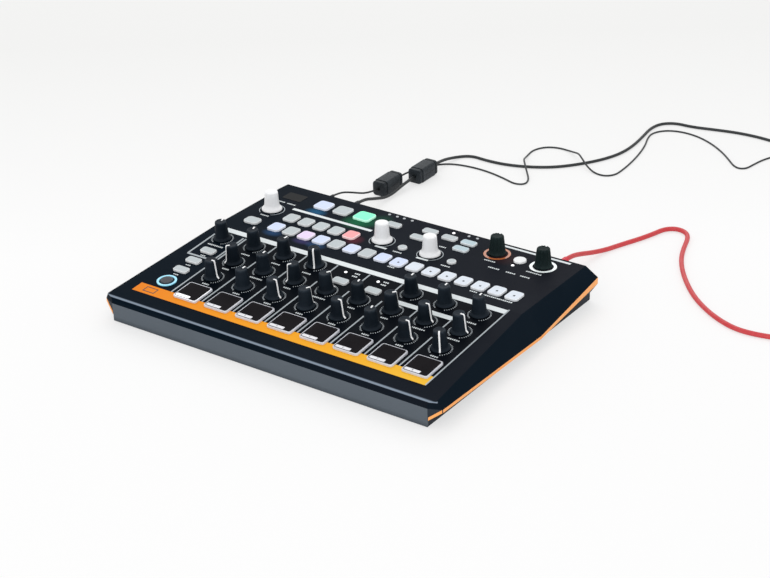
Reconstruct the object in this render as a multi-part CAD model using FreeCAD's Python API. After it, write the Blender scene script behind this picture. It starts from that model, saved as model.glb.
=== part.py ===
import FreeCAD, Part
import math
import os

# A table-top drum machine: a two-part case with a folded control deck, 28 knobs, 8 drum pads,
# sprung push buttons, and three leads at the rear.
# Millimetres. X runs to the right, Y to the rear, Z up. The origin is the middle of the footprint.

os.makedirs("parts", exist_ok=True)

# Case
case_width = 316.0
case_depth = 226.0
foot_proud = 0.8
lip_height = 22.4
lip_setback = 3.4
lip_radius = 3.2
front_tilt = 4.0
rear_tilt = -1.0
fold_run = 126.3
wall = 2.5
waist_run = 136.0
trim_front = 2.6
trim_rear = 5.4
trim_depth = 3.5
trim_leg_start = 1.0
trim_leg_height = 11.2
waist_height = 10.9
tip_front_height = 16.0
tip_rear_height = 22.4
base_front_half = 147.8
base_rear_half = 151.2
base_upright = 6.0
deck_front_half = 154.0
deck_fold_half = 146.9
corner_run = 5.0

# Control deck
column_count = 8
column_pitch = 30.65
first_column = -95.2
knob_rows = {"c": 57.5, "b": 83.8, "a": 110.8}
pad_row = 30.65
pad_offset = 2.0
pad_size = 21.4
pad_height = 3.6
pad_travel = 1.2
frame_size = 24.0
frame_height = 2.4
step_count = 16
step_pitch = 15.22
first_step = -100.83
step_row = 147.3
mode_count = 5
mode_row = 167.9
step_size = (11.6, 13.6)
mode_size = (11.4, 13.2)
oblong_size = (13.4, 7.6)
transport_size = (14.6, 14.2)
play_size = (16.2, 15.0)
corner_button_size = (13.6, 10.8)
button_height = 2.2
button_travel = 0.6
round_radius = 5.2
small_round_radius = 3.8
ring_radius = 8.2
clear = 0.3
knob_gap = 0.6

# Inside
board_depth = 9.0
board_thick = 1.6
board_half = 136.0
pot_width = 9.6
bushing_radius = 4.0
shaft_radius = 3.0
shaft_sides = 12
shaft_clear = 0.4
switch_width = 6.0
switch_depth = 6.5
boss_radius = 3.0
boss_side = 140.0
foot_radius = 6.0
foot_thick = 1.8

# Sockets and leads
socket_height = 13.0
small_bore = 1.8
large_bore = 3.25
small_barrel = 3.2
large_barrel = 5.6
coil_gap = 0.5


def V(x, y, z):
    return FreeCAD.Vector(x, y, z)


# Y of the lip, where the control deck starts, and of the case's front and rear faces
front_face = -case_depth / 2
rear_face = case_depth / 2
lip_y = front_face + lip_setback
tilt_front = math.radians(front_tilt)
tilt_rear = math.radians(rear_tilt)
fold_y = lip_y + fold_run * math.cos(tilt_front)
fold_z = lip_height + fold_run * math.sin(tilt_front)
waist_y = lip_y + waist_run


def deck_z(y):
    """Height of the deck's outer face at depth y."""
    if y <= fold_y:
        return lip_height + (y - lip_y) * math.tan(tilt_front)
    return fold_z + (y - fold_y) * math.tan(tilt_rear)


def on_deck(across, run, turn=0.0):
    """Placement on the deck: run is measured up the deck from the lip, local Z is the outward normal."""
    if run <= fold_run:
        tilt = tilt_front
        spot = V(across, lip_y + run * math.cos(tilt), lip_height + run * math.sin(tilt))
    else:
        tilt = tilt_rear
        extra = run - fold_run
        spot = V(across, fold_y + extra * math.cos(tilt), fold_z + extra * math.sin(tilt))
    lean = FreeCAD.Rotation(V(1, 0, 0), math.degrees(tilt))
    spin = FreeCAD.Rotation(V(0, 0, 1), turn)
    return FreeCAD.Placement(spot, lean.multiply(spin))


def placed(shape, placement):
    moved = shape.copy()
    moved.Placement = placement
    return moved


def save(shape, name):
    shape.exportStep("parts/" + name + ".step")
    solids = len(shape.Solids)
    print(f"{name}: {solids} solid(s), valid {shape.isValid()}, volume {shape.Volume:.1f}")


def polygon(points):
    return Part.makePolygon(points + [points[0]])


def block(width, depth, low, high, corner=0.0):
    """A rectangular block centred on local Z, its upright edges cut at 45 degrees by corner."""
    return taper_block([(low, width, depth), (high, width, depth)], corner)


def outline(width, depth, corner, z):
    w = width / 2
    d = depth / 2
    if corner == 0:
        return polygon([V(-w, -d, z), V(w, -d, z), V(w, d, z), V(-w, d, z)])
    c = corner
    ring = [(-w + c, -d), (w - c, -d), (w, -d + c), (w, d - c)]
    ring += [(w - c, d), (-w + c, d), (-w, d - c), (-w, -d + c)]
    return polygon([V(x, y, z) for x, y in ring])


def taper_block(levels, corner):
    """A ruled block through levels of (height, width, depth)."""
    wires = [outline(width, depth, corner, z) for z, width, depth in levels]
    return Part.makeLoft(wires, True, True)


def turned(profile):
    """Solid of revolution about Z of a closed profile given as (radius, height)."""
    face = Part.Face(polygon([V(r, 0, z) for r, z in profile]))
    return face.revolve(V(0, 0, 0), V(0, 0, 1), 360)


def rod(radius, low, high):
    return Part.makeCylinder(radius, high - low, V(0, 0, low))


# Case

def case_section(y, deck_half, deck, tip_half, tip_high, tip_low, base_half, floor):
    """Half outline of the case at depth y, mirrored: deck edge, side tip, upright foot of the side."""
    right = [V(base_half, y, floor), V(base_half, y, floor + base_upright), V(tip_half, y, tip_low)]
    right += [V(tip_half, y, tip_high), V(deck_half, y, deck)]
    left = [V(-p.x, p.y, p.z) for p in reversed(right)]
    return polygon(right + left)


def tip_heights(y):
    """Upper and lower edge of the trim along the side tip."""
    if y <= waist_y:
        share = (y - front_face) / (waist_y - front_face)
        return tip_front_height + share * (waist_height - tip_front_height), trim_front
    share = (y - waist_y) / (rear_face - waist_y)
    high = waist_height + share * (tip_rear_height - waist_height)
    return high, trim_front + share * (trim_rear - trim_front)


def deck_half(y):
    if y >= fold_y:
        return deck_fold_half
    share = (y - front_face) / (fold_y - front_face)
    return deck_front_half + share * (deck_fold_half - deck_front_half)


def base_half(y):
    share = (y - front_face) / (rear_face - front_face)
    return base_front_half + share * (base_rear_half - base_front_half)


def case_solid(inset):
    """The closed case, or with an inset the space inside its walls."""
    half = case_width / 2
    stations = [front_face, fold_y, waist_y, rear_face]
    if inset > 0:
        stations = [front_face + inset, front_face + 4 * inset, fold_y, waist_y, rear_face - inset]
    wires = []
    for y in stations:
        high, width = tip_heights(y)
        tip = half - 2.2 * inset
        if inset > 0 and y < front_face + 2 * inset:
            tip = base_front_half - inset
        edge = min(deck_half(y) - 1.6 * inset, tip)
        foot = base_half(y) - inset
        floor = foot_proud + inset
        wires.append(case_section(y, edge, deck_z(y) - inset, tip, high, high - width, foot, floor))
    return Part.makeLoft(wires, True, True)


def corner_cutter(side):
    """Wedge that takes off a front corner between the front face and the side tip."""
    half = case_width / 2
    wedge = [(base_front_half, front_face - 1), (half + 1, front_face - 1), (half + 1, front_face + corner_run)]
    wedge += [(base_front_half, front_face)]
    face = Part.Face(polygon([V(side * x, y, -1) for x, y in wedge]))
    return face.extrude(V(0, 0, 60))


def parting_block():
    """Everything above the seam between the two shells."""
    wide = case_width
    seam = [(front_face - 10, tip_front_height), (front_face, tip_front_height)]
    seam += [(waist_y, waist_height), (rear_face, tip_rear_height), (rear_face + 10, tip_rear_height)]
    seam += [(rear_face + 10, 80), (front_face - 10, 80)]
    face = Part.Face(polygon([V(-wide, y, z) for y, z in seam]))
    return face.extrude(V(2 * wide, 0, 0))


def trim_strip(side):
    """The coloured strip along a side tip, with a short leg down the cut front corner."""
    half = case_width / 2
    wires = []
    for y in (front_face + corner_run, waist_y, rear_face):
        high, width = tip_heights(y)
        ring = [(half, high - width), (half, high), (half - trim_depth, high), (half - trim_depth, high - width)]
        wires.append(polygon([V(side * x, y, z) for x, z in ring]))
    strip = Part.makeLoft(wires, True, True)
    high, width = tip_heights(front_face + corner_run)
    leg = []
    start_run = corner_run * trim_leg_start / (half - base_front_half)
    leg_start = (base_front_half + trim_leg_start, front_face + start_run, trim_leg_height)
    for x, y, top in (leg_start, (half, front_face + corner_run, high)):
        ring = [(y, top - width), (y, top), (y + trim_depth, top), (y + trim_depth, top - width)]
        leg.append(polygon([V(side * x, b, z) for b, z in ring]))
    return strip.fuse(Part.makeLoft(leg, True, True)).removeSplitter()


closed_case = case_solid(0)
for side in (-1, 1):
    closed_case = closed_case.cut(corner_cutter(side))
lip_edges = []
for edge in closed_case.Edges:
    middle = edge.CenterOfMass
    straight = edge.Length > case_width * 0.6 and abs(edge.BoundBox.ZLength) < 0.01
    if straight and middle.y < front_face + 0.1 and middle.z > lip_height - 1:
        lip_edges.append(edge)
closed_case = closed_case.makeFillet(lip_radius, lip_edges)
hollow = case_solid(wall)
trims = [trim_strip(-1).common(closed_case), trim_strip(1).common(closed_case)]
upper = parting_block()
shell_body = closed_case.cut(hollow)
top_shell = shell_body.common(upper).cut(trims[0]).cut(trims[1])
bottom_shell = shell_body.cut(upper).cut(trims[0]).cut(trims[1])

boss_spots = [(side * boss_side, lip_y + run) for run in (16.0, 150.0, 214.0) for side in (-1, 1)]
for x, y in boss_spots:
    boss = Part.makeCylinder(boss_radius, 60, V(x, y, foot_proud + wall / 2)).common(hollow)
    boss = boss.cut(Part.makeCylinder(1.3, 60, V(x, y, foot_proud + wall + 2)))
    bottom_shell = bottom_shell.fuse(boss)

feet = []
for x in (-130.0, 130.0):
    for y in (front_face + 22, rear_face - 22):
        feet.append(Part.makeCylinder(foot_radius, foot_thick, V(x, y, 0)))
        seat = Part.makeCylinder(foot_radius + 0.1, foot_thick, V(x, y, 0))
        bottom_shell = bottom_shell.cut(seat)

# Control boards: one under each half of the folded deck

def board(run_start, run_end):
    """A circuit board parallel to the deck between two runs."""
    middle = (run_start + run_end) / 2
    plate = block(2 * board_half, run_end - run_start, -board_depth - board_thick, -board_depth)
    return placed(plate, on_deck(0, middle))


boards = [board(12.0, fold_run - 3), board(fold_run + 3, 216.0)]

# Knobs: name, across, run, resting pointer angle clockwise from the rear, kind
knobs = []
pointer_angles = {
    "a": [-15, 20, 150, None, None, 0, 0, 0],
    "b": [-150, 0, -150, 40, -10, 50, 95, 95],
    "c": [100, 10, 100, 40, 100, -10, 100, 150],
}
for row in ("a", "b", "c"):
    for column in range(column_count):
        angle = pointer_angles[row][column]
        across = first_column + column * column_pitch
        if angle is not None:
            knobs.append((f"knob_{row}{column + 1}", across, knob_rows[row], angle, "small"))
knobs.append(("knob_tempo", -127.2, 109.4, -5, "small"))
knobs.append(("encoder_left", -126.0, 173.7, 0, "white"))
knobs.append(("encoder_middle", -13.4, 173.8, 0, "white"))
knobs.append(("encoder_right", 33.0, 173.8, 0, "white"))
knobs.append(("output_knob_left", 77.2, 203.8, 0, "large"))
knobs.append(("output_knob_right", 119.6, 203.6, 0, "large"))

# Grooves down the side of an output knob
flute_count = 12
flute_radius = 0.8
flute_out = 0.2

# Knob forms: skirt radius, skirt rim height, shoulder radius, shoulder height, top radius, height
knob_forms = {
    "small": (7.4, 1.0, 5.9, 2.9, 4.6, 16.4),
    "white": (8.7, 1.4, 6.6, 3.4, 5.5, 16.8),
    "large": (7.2, 1.4, 6.8, 2.6, 5.2, 16.2),
}


def knob(kind):
    """A push-on knob with its splined shaft. The pointer rib runs over the top and down to the skirt."""
    skirt, rim, shoulder, shoulder_height, top, height = knob_forms[kind]
    low = knob_gap
    profile = [(0, low), (skirt, low), (skirt, low + rim), (shoulder, low + shoulder_height)]
    profile += [(top, height - 0.6), (top - 0.6, height), (0, height)]
    body = turned(profile)
    if kind == "large":
        start = V(shoulder + flute_out, 0, low + shoulder_height + 0.5)
        lean = V(top - shoulder, 0, height - 0.6 - low - shoulder_height)
        for step in range(flute_count):
            groove = Part.makeCylinder(flute_radius, height, start, lean)
            groove.rotate(V(0, 0, 0), V(0, 0, 1), (step + 0.5) * 360 / flute_count)
            body = body.cut(groove)
    rib = [(1.2, height + 0.25), (top - 0.4, height + 0.25), (shoulder + 0.25, low + shoulder_height)]
    rib += [(skirt + 0.1, low + rim), (shoulder - 2, low + rim), (1.2, height - 1)]
    rib_face = Part.Face(polygon([V(-0.6, r, z) for r, z in rib]))
    body = body.fuse(rib_face.extrude(V(1.2, 0, 0)))
    corners = [math.tau * k / shaft_sides for k in range(shaft_sides)]
    low_end = -board_depth + 1.5
    ring = [V(shaft_radius * math.cos(a), shaft_radius * math.sin(a), low_end) for a in corners]
    shaft = Part.Face(polygon(ring)).extrude(V(0, 0, low + 1 - low_end))
    return body.fuse(shaft).removeSplitter()


def pot():
    """A potentiometer body on the board, its bushing reaching up into the deck."""
    body = block(pot_width, pot_width, -board_depth, -wall - 0.2)
    body = body.fuse(rod(bushing_radius, -wall - 0.3, -0.3))
    return body.cut(rod(shaft_radius + shaft_clear, -board_depth + 1.1, 1))


def tact_switch():
    return block(switch_width, switch_width, -board_depth, -switch_depth)


control_bodies = []
deck_cuts = []
for name, across, run, angle, kind in knobs:
    spot = on_deck(across, run)
    save(placed(knob(kind), on_deck(across, run, -angle)), name)
    control_bodies.append(placed(pot(), spot))
    deck_cuts.append(placed(rod(bushing_radius + clear, -wall - 3, 2), spot))


# Pads

def pad():
    """A soft drum pad: a low crowned key with a plunger above its sensor."""
    size = pad_size
    levels = [(-3.6, size, size), (pad_height - 0.8, size, size), (pad_height, size - 1.4, size - 1.4)]
    return taper_block(levels, 1.4).fuse(block(8, 8, -switch_depth + pad_travel + clear, -3.6))


def pad_frame():
    """The clear frame that a pad stands in, with a tab for its label in front."""
    levels = [(0, frame_size, frame_size), (frame_height, frame_size - 0.4, frame_size - 0.4)]
    body = taper_block(levels, 1.6)
    tab = block(13, 4.5, 0, 1.0)
    tab.translate(V(0, -frame_size / 2 - 1.8, 0))
    body = body.fuse(tab)
    return body.cut(block(pad_size + 2 * clear, pad_size + 2 * clear, -1, 5, 1.4)).removeSplitter()


pad_frames = []
pad_spots = []
for column in range(column_count):
    across = first_column + pad_offset + column * column_pitch
    spot = on_deck(across, pad_row)
    pad_spots.append((f"pad_{column + 1}", across, pad_row))
    save(placed(pad(), spot), f"pad_{column + 1}")
    pad_frames.append(placed(pad_frame(), spot))
    control_bodies.append(placed(tact_switch(), spot))
    hole = block(pad_size + 2 * clear, pad_size + 2 * clear, -wall - 3, 2, 1.4)
    deck_cuts.append(placed(hole, spot))


# Push buttons, in groups that share a carrier

def button(width, depth, corner):
    """A key cap with chamfered edges and a stem above its switch."""
    edge = 0.7
    levels = [(-3.0, width, depth), (button_height - edge, width, depth)]
    levels += [(button_height, width - 2 * edge, depth - 2 * edge)]
    stem_low = -switch_depth + button_travel + clear
    return taper_block(levels, corner).fuse(block(4, 4, stem_low, -3.0))


def round_button(radius):
    stem_low = -switch_depth + button_travel + clear
    profile = [(0, -3), (radius, -3), (radius, button_height - 0.8), (radius - 0.8, button_height), (0, button_height)]
    return turned(profile).fuse(block(4, 4, stem_low, -3.0))


step_spots = [(first_step + k * step_pitch, step_row) for k in range(step_count)]
mode_spots = [(first_step + k * step_pitch, mode_row) for k in range(mode_count)]
oblong_spots = [(-124.2, 87.6), (-125.0, 70.0), (-124.5, 54.1), (-1.5, 100.0), (29.4, 100.0)]
oblong_spots += [(-22.0, 203.0), (10.4, 208.6), (8.1, 193.9), (30.3, 206.7), (48.6, 206.8), (48.9, 194.3)]
round_spots = [(8.2, 171.4, small_round_radius), (55.2, 171.2, small_round_radius)]
round_spots += [(99.3, 202.3, round_radius), (-124.0, 35.5, round_radius)]
transport_spots = [(-92.9, 202.4), (-73.3, 202.6)]
play_spot = (-51.6, 202.8)
corner_spot = (-125.6, 147.0)


def button_group(spots, size, corner):
    """Square-cut caps of one size, their switches and their holes in the deck."""
    caps = []
    for across, run in spots:
        spot = on_deck(across, run)
        caps.append(placed(button(size[0], size[1], corner), spot))
        control_bodies.append(placed(tact_switch(), spot))
        hole = block(size[0] + 2 * clear, size[1] + 2 * clear, -wall - 3, 2, corner)
        deck_cuts.append(placed(hole, spot))
    return caps


step_caps = button_group(step_spots, step_size, 2.2)
mode_caps = button_group(mode_spots, mode_size, 2.2)
oblong_caps = button_group(oblong_spots, oblong_size, 1.4)
oblong_caps += button_group([corner_spot], corner_button_size, 3.0)
transport_caps = button_group(transport_spots, transport_size, 2.0)
transport_caps += button_group([play_spot], play_size, 2.0)
round_caps = []
for across, run, radius in round_spots:
    spot = on_deck(across, run)
    round_caps.append(placed(round_button(radius), spot))
    control_bodies.append(placed(tact_switch(), spot))
    deck_cuts.append(placed(rod(radius + clear, -wall - 3, 2), spot))

save(Part.makeCompound(step_caps), "step_buttons")
save(Part.makeCompound(mode_caps), "mode_buttons")
save(Part.makeCompound(oblong_caps), "function_buttons")
save(Part.makeCompound(transport_caps), "transport_buttons")
save(Part.makeCompound(round_caps), "round_buttons")

# Lights: small lenses and the ring round one button
led_spots = [(-6.2, 113.7), (24.7, 113.8), (27.5, 217.1), (98.5, 192.5)]
led_spots += [(-37.1, 218.6), (-29.2, 218.6), (-22.3, 218.6), (-14.3, 218.6), (41.3, 218.6), (49.3, 218.6)]
led_radius = 1.3
lights = []
for across, run in led_spots:
    spot = on_deck(across, run)
    lights.append(placed(rod(led_radius, -wall - 1.5, 0.5), spot))
    deck_cuts.append(placed(rod(led_radius + 0.15, -wall - 3, 2), spot))
ring = rod(ring_radius, 0, 0.8).cut(rod(round_radius + clear, -1, 2))
lights.append(placed(ring, on_deck(*round_spots[3][:2])))
save(Part.makeCompound(lights), "indicator_lights")

# Display window in a pocket of the deck
window_size = (19.0, 12.6)
window_spot = on_deck(-124.9, 204.2)
window = placed(block(window_size[0], window_size[1], -1.2, 0.2, 0.8), window_spot)
deck_cuts.append(placed(block(window_size[0], window_size[1], -1.2, 2, 0.8), window_spot))

top_shell = top_shell.cut(deck_cuts)
save(top_shell, "top_shell")
save(Part.makeCompound(trims), "accent_trims")
save(Part.makeCompound(pad_frames), "pad_frames")
save(window, "display_window")
save(Part.makeCompound(control_bodies), "control_bodies")
save(Part.makeCompound(boards), "control_boards")
save(Part.makeCompound(feet), "feet")

# Sockets in the rear face: across, barrel radius, bore radius, body length
power_socket = -94.0
sync_socket = -121.0
patch_socket = 112.5
sockets = [(sync_socket, small_barrel, small_bore), (power_socket, small_barrel, small_bore)]
sockets += [(-76.0 + 12 * k, small_barrel, small_bore) for k in range(9)]
sockets += [(38.0 + 18 * k, large_barrel, large_bore) for k in range(4)]
sockets += [(patch_socket, small_barrel, small_bore), (128.0, small_barrel, small_bore)]
socket_bodies = []
bore_depths = {small_bore: 15.0, large_bore: 22.0}


def lying(shape, x, y, z):
    """Turns a shape built along Z so that it points to the rear, and moves it."""
    shape.rotate(V(0, 0, 0), V(1, 0, 0), -90)
    shape.translate(V(x, y, z))
    return shape


for across, barrel, bore in sockets:
    deep = bore_depths[bore]
    body = rod(barrel, -wall - 0.3, 0).fuse(block(2 * barrel + 1.6, 2 * barrel + 0.8, -deep - 1.5, -wall - 0.2))
    body = body.cut(rod(bore, -deep, 1))
    socket_bodies.append(lying(body, across, rear_face - 0.1, socket_height))
    hole = Part.makeCylinder(barrel + 0.1, wall * 3, V(across, rear_face - wall * 2, socket_height), V(0, 1, 0))
    bottom_shell = bottom_shell.cut(hole)
save(Part.makeCompound(socket_bodies), "rear_sockets")
save(bottom_shell, "bottom_shell")

# Leads. A route is a list of points by hand. The tube is straight runs joined by tangent arcs.
plug_body = 20.0
plug_boot = 10.0
plug_pin = 12.0
plug_clear = 0.3
ferrite_size = 14.0
ferrite_length = 28.0
ferrite_clear = 0.5
coil_layer_turns = 3
coil_across = 11.0
power_diameter = 2.8
sync_diameter = 1.7
patch_diameter = 4.0
plug_radius = {"power": 4.7, "sync": 3.05, "patch": 5.2}
boot_end = rear_face + plug_clear + plug_body + plug_boot
power_floor = power_diameter / 2
sync_floor = sync_diameter / 2
patch_floor = patch_diameter / 2
ferrite_spots = [(-90.5, 237.6), (-102.3, 198.9)]
ferrite_axis = ferrite_size / 2

power_route = [(power_socket, boot_end, socket_height), (-94, 153, 12.2), (-92.6, 164, 8.4), (-91.4, 184.5, 2.2)]
power_route += [(-90.5, 211, ferrite_axis), (-90.5, 264, ferrite_axis)]
power_route += [(x, y, power_floor) for x, y in [
    (-88.8, 290), (-78, 299.5), (-61, 297.5), (-41, 298.5), (-20, 305), (0, 316.5), (16, 334), (29, 354),
    (36.5, 374), (38, 396), (35.5, 420), (32.5, 441), (35.5, 456), (47, 464.5), (64, 464), (85, 469),
    (107, 473.5), (128, 474), (146, 471.5), (158, 477.5), (164, 489), (164, 501)]]

sync_route = [(sync_socket, boot_end, socket_height), (-120.6, 151.5, 12.4), (-118, 160.5, 10.2)]
sync_route += [(-102.3, 173, ferrite_axis), (-102.3, 225, ferrite_axis), (-104.2, 250, sync_floor)]
sync_route += [(x, y, sync_floor) for x, y in [(-97, 266), (-84, 276.5), (-64, 279.5), (-45, 278), (-26, 273)]]
sync_route += [(-13, 268, sync_floor), (-4, 272, sync_floor), (-6, 282, 1.2), (-14, 291.5, 3.4)]
sync_route += [(-20.5, 299, 6.7), (-26.5, 307, 6.7), (-31, 316.5, 3.4)]
sync_route += [(x, y, sync_floor) for x, y in [(-35, 328), (-37, 341), (-31, 353), (-19, 358)]]
sync_route += [(-6, 356, 1.2), (4, 349, 4.4), (9.5, 344, 6.7), (16, 338, 6.7), (26, 330, 3.6)]
sync_route += [(x, y, sync_floor) for x, y in [
    (36, 325.5), (47, 324), (54.5, 331), (55, 345), (53.8, 364), (51, 384), (46.5, 404), (40.5, 420),
    (38.5, 433), (46, 445), (60, 450), (78, 448), (97, 439), (115, 425.5), (128, 412.5), (136, 404),
    (143, 401), (148.5, 405), (150, 415), (153, 430), (159, 443), (162, 455), (162, 466)]]

patch_route = [(patch_socket, boot_end, socket_height), (112.7, 152, 12.4), (114.0, 164, 9.2), (116.5, 178, 5)]
patch_route += [(x, y, patch_floor) for x, y in [
    (121, 194), (127.5, 210), (135, 226), (140.5, 241), (144, 253.5), (152.5, 260), (163, 257.3), (169, 248),
    (174, 230), (181, 211.5), (191.5, 193), (205, 174.5), (220, 157.5), (237, 143.5), (254.5, 133), (272, 127),
    (291, 128.5), (306, 133), (316, 142.5), (319, 156), (319, 169)]]


def tangent_path(points):
    """Edges and bend radii of straight runs joined by arcs, each arc as large as its runs allow."""
    spots = [V(*p) for p in points]
    edges = []
    radii = []
    last = spots[0]
    for before, corner, after in zip(spots, spots[1:], spots[2:]):
        into = corner - before
        out = after - corner
        reach = 0.45 * min(into.Length, out.Length)
        into.normalize()
        out.normalize()
        half = into.getAngle(out) / 2
        radius = reach / math.tan(half)
        start = corner - into * reach
        end = corner + out * reach
        inward = out - into
        inward.normalize()
        middle = corner + inward * (radius / math.cos(half) - radius)
        edges.append(Part.LineSegment(last, start).toShape())
        edges.append(Part.Arc(start, middle, end).toShape())
        radii.append(radius)
        last = end
    edges.append(Part.LineSegment(last, spots[-1]).toShape())
    return edges, radii


def tube(edges, diameter, start, along):
    """A round tube swept along joined edges."""
    circle = Part.Circle(start, along, diameter / 2)
    sweep = Part.BRepOffsetAPI.MakePipeShell(Part.Wire(edges))
    sweep.add(Part.Wire(circle.toShape()))
    sweep.build()
    sweep.makeSolid()
    return sweep.shape()


def report_tube(name, solid, edges, diameter):
    length = sum(edge.Length for edge in edges)
    share = solid.Volume / (math.pi * diameter ** 2 / 4 * length)
    print(f"{name}: length {length:.1f}, volume over section times length {share:.4f}")
    return length


def lead(name, route, diameter):
    edges, radii = tangent_path(route)
    along = V(*route[1]) - V(*route[0])
    solid = tube(edges, diameter, V(*route[0]), along)
    print(f"{name}: radii " + " ".join(f"{r:.0f}" for r in radii))
    report_tube(name, solid, edges, diameter)
    save(solid, name)


def arc_from(start, along, end):
    """The arc that leaves start in the direction along and reaches end."""
    chord = end - start
    flat = chord * (1 / chord.Length)
    angle = along.getAngle(chord)
    side = along - flat * along.dot(flat)
    side.normalize()
    middle = start + chord * 0.5 + side * (chord.Length / 2 * math.tan(angle / 2))
    return Part.Arc(start, middle, end).toShape()


def half_turn(start, along, end):
    """Two quarter arcs that turn a level path right round from start to end."""
    reach = (end - start).Length / 2
    top = (start + end) * 0.5 + along * reach
    first = arc_from(start, along, top)
    return [first, arc_from(top, (end - start) * (1 / (end - start).Length), end)]


def coil(name, start, along, side, diameter, tail):
    """Loops that spiral in on the floor, climb at the inside and spiral out on top of them."""
    pitch = diameter + coil_gap
    outer = coil_across * diameter / 2 + coil_layer_turns * pitch / 2
    halves = 2 * coil_layer_turns
    radii = [outer - k * pitch / 2 for k in range(halves + 1)]
    radii += [outer - (halves - 1 - k) * pitch / 2 for k in range(halves)]
    spot = start + along * diameter
    edges = [Part.LineSegment(start, spot).toShape()]
    heading = along
    inward = side
    for count, radius in enumerate(radii):
        rise = diameter + coil_gap if count == halves else 0
        end = spot + inward * (2 * radius) + V(0, 0, rise)
        edges += half_turn(spot, heading, end)
        spot = end
        heading = heading * -1
        inward = inward * -1
    end = spot + heading * tail
    edges.append(Part.LineSegment(spot, end).toShape())
    solid = tube(edges, diameter, start, along)
    length = report_tube(name, solid, edges, diameter)
    points = []
    for edge in edges:
        count = max(4, int(edge.Length / (diameter * 0.5)))
        points += edge.discretize(count)[:-1]
    step = length / len(points)
    skip = int(3 * diameter / step) + 2
    least = min((a - b).Length for i, a in enumerate(points) for b in points[i + skip:])
    print(f"{name}: least gap to itself {least - diameter:.2f}, turns {len(radii) / 2}, outer radius {outer:.1f}")
    save(solid, name)
    return end, heading


def plug(radius, cord, pin):
    """A straight plug along Z: pin, grip and a tapered boot that ends at the cord."""
    profile = [(0, -pin), (small_bore - 0.1, -pin), (small_bore - 0.1, 0), (radius - 0.4, 0), (radius, 0.4)]
    profile += [(radius, plug_body), (cord + 0.9, plug_body + 1.0), (cord + 0.5, plug_body + plug_boot)]
    profile += [(0, plug_body + plug_boot)]
    return turned(profile)


def pointed(shape, place, direction):
    """Moves a shape built along Z so that it starts at place and points along direction."""
    turn = FreeCAD.Rotation(V(0, 0, 1), direction)
    return placed(shape, FreeCAD.Placement(place, turn))


leads = [("power", power_route, power_diameter), ("sync", sync_route, sync_diameter)]
leads += [("patch", patch_route, patch_diameter)]
near_plugs = []
end_plugs = []
for name, route, diameter in leads:
    grip = plug_radius[name]
    lead(name + "_lead", route, diameter)
    seat = V(route[0][0], rear_face + plug_clear, socket_height)
    near_plugs.append(pointed(plug(grip, diameter / 2, plug_pin), seat, V(0, 1, 0)))
    outer_turn = coil_across * diameter / 2 + coil_layer_turns * (diameter + coil_gap) / 2
    tail = math.sqrt(2 * outer_turn * (grip + diameter)) + 2
    end, heading = coil(name + "_lead_coil", V(*route[-1]), V(0, 1, 0), V(1, 0, 0), diameter, tail)
    tip = end + heading * (plug_body + plug_boot)
    end_plugs.append(pointed(plug(grip, diameter / 2, plug_pin), tip, heading * -1))
save(Part.makeCompound(near_plugs), "lead_plugs")
save(Part.makeCompound(end_plugs), "end_plugs")

ferrites = []
for (x, y), diameter in zip(ferrite_spots, (power_diameter, sync_diameter)):
    core = block(ferrite_size, ferrite_size, -ferrite_length / 2, ferrite_length / 2, ferrite_size * 0.22)
    core = core.cut(rod(diameter / 2 + ferrite_clear, -ferrite_length, ferrite_length))
    ferrites.append(lying(core, x, y, ferrite_axis))
save(Part.makeCompound(ferrites), "ferrite_cores")
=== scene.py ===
import bpy
import math
from mathutils import Matrix, Vector


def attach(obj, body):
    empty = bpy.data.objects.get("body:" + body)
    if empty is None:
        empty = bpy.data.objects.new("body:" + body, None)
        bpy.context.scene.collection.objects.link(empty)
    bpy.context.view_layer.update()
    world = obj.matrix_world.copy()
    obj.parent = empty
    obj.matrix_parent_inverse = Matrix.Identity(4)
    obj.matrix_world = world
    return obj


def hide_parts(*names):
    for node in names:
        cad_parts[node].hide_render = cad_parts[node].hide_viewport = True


# A table-top drum machine on a white sweep.
# Sizes in the dictionaries are millimetres unless a note says otherwise.
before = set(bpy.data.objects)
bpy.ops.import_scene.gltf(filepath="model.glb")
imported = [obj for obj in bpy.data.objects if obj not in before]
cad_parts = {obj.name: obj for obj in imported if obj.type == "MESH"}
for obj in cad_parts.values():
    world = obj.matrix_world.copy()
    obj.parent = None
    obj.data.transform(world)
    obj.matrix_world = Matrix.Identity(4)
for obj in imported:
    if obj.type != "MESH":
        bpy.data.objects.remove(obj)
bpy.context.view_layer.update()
mm = 0.001
print("frame loaded:", len(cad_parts), "nodes")


def addObject(name, data):
    made = bpy.data.objects.new(name, data)
    bpy.context.scene.collection.objects.link(made)
    return made


# The camera stands where the photograph's stood (metres and degrees)
cameraSet = {
    "azimuth": 35.69, "elevation": 27.85, "roll": -1.85, "distance": 1.45362,
    "target": (0.03182, 0.00271, 0.02652), "lens": 87.85,
}


def placeCamera(settings):
    a, e, r = (math.radians(settings[k]) for k in ("azimuth", "elevation", "roll"))
    back = Vector((math.sin(a) * math.cos(e), -math.cos(a) * math.cos(e), math.sin(e)))
    right = (-back).cross(Vector((0, 0, 1))).normalized()
    up = right.cross(-back)
    tiltedRight = right * math.cos(r) + up * math.sin(r)
    tiltedUp = up * math.cos(r) - right * math.sin(r)
    data = bpy.data.cameras.new("camera")
    data.lens = settings["lens"]
    data.sensor_width = 36
    data.clip_start = 0.01
    camera = addObject("camera", data)
    turn = Matrix((tiltedRight, tiltedUp, back)).transposed().to_4x4()
    camera.matrix_world = Matrix.Translation(Vector(settings["target"]) + back * settings["distance"]) @ turn
    bpy.context.scene.camera = camera


placeCamera(cameraSet)
bpy.context.scene.view_settings.view_transform = "Standard"

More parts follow.
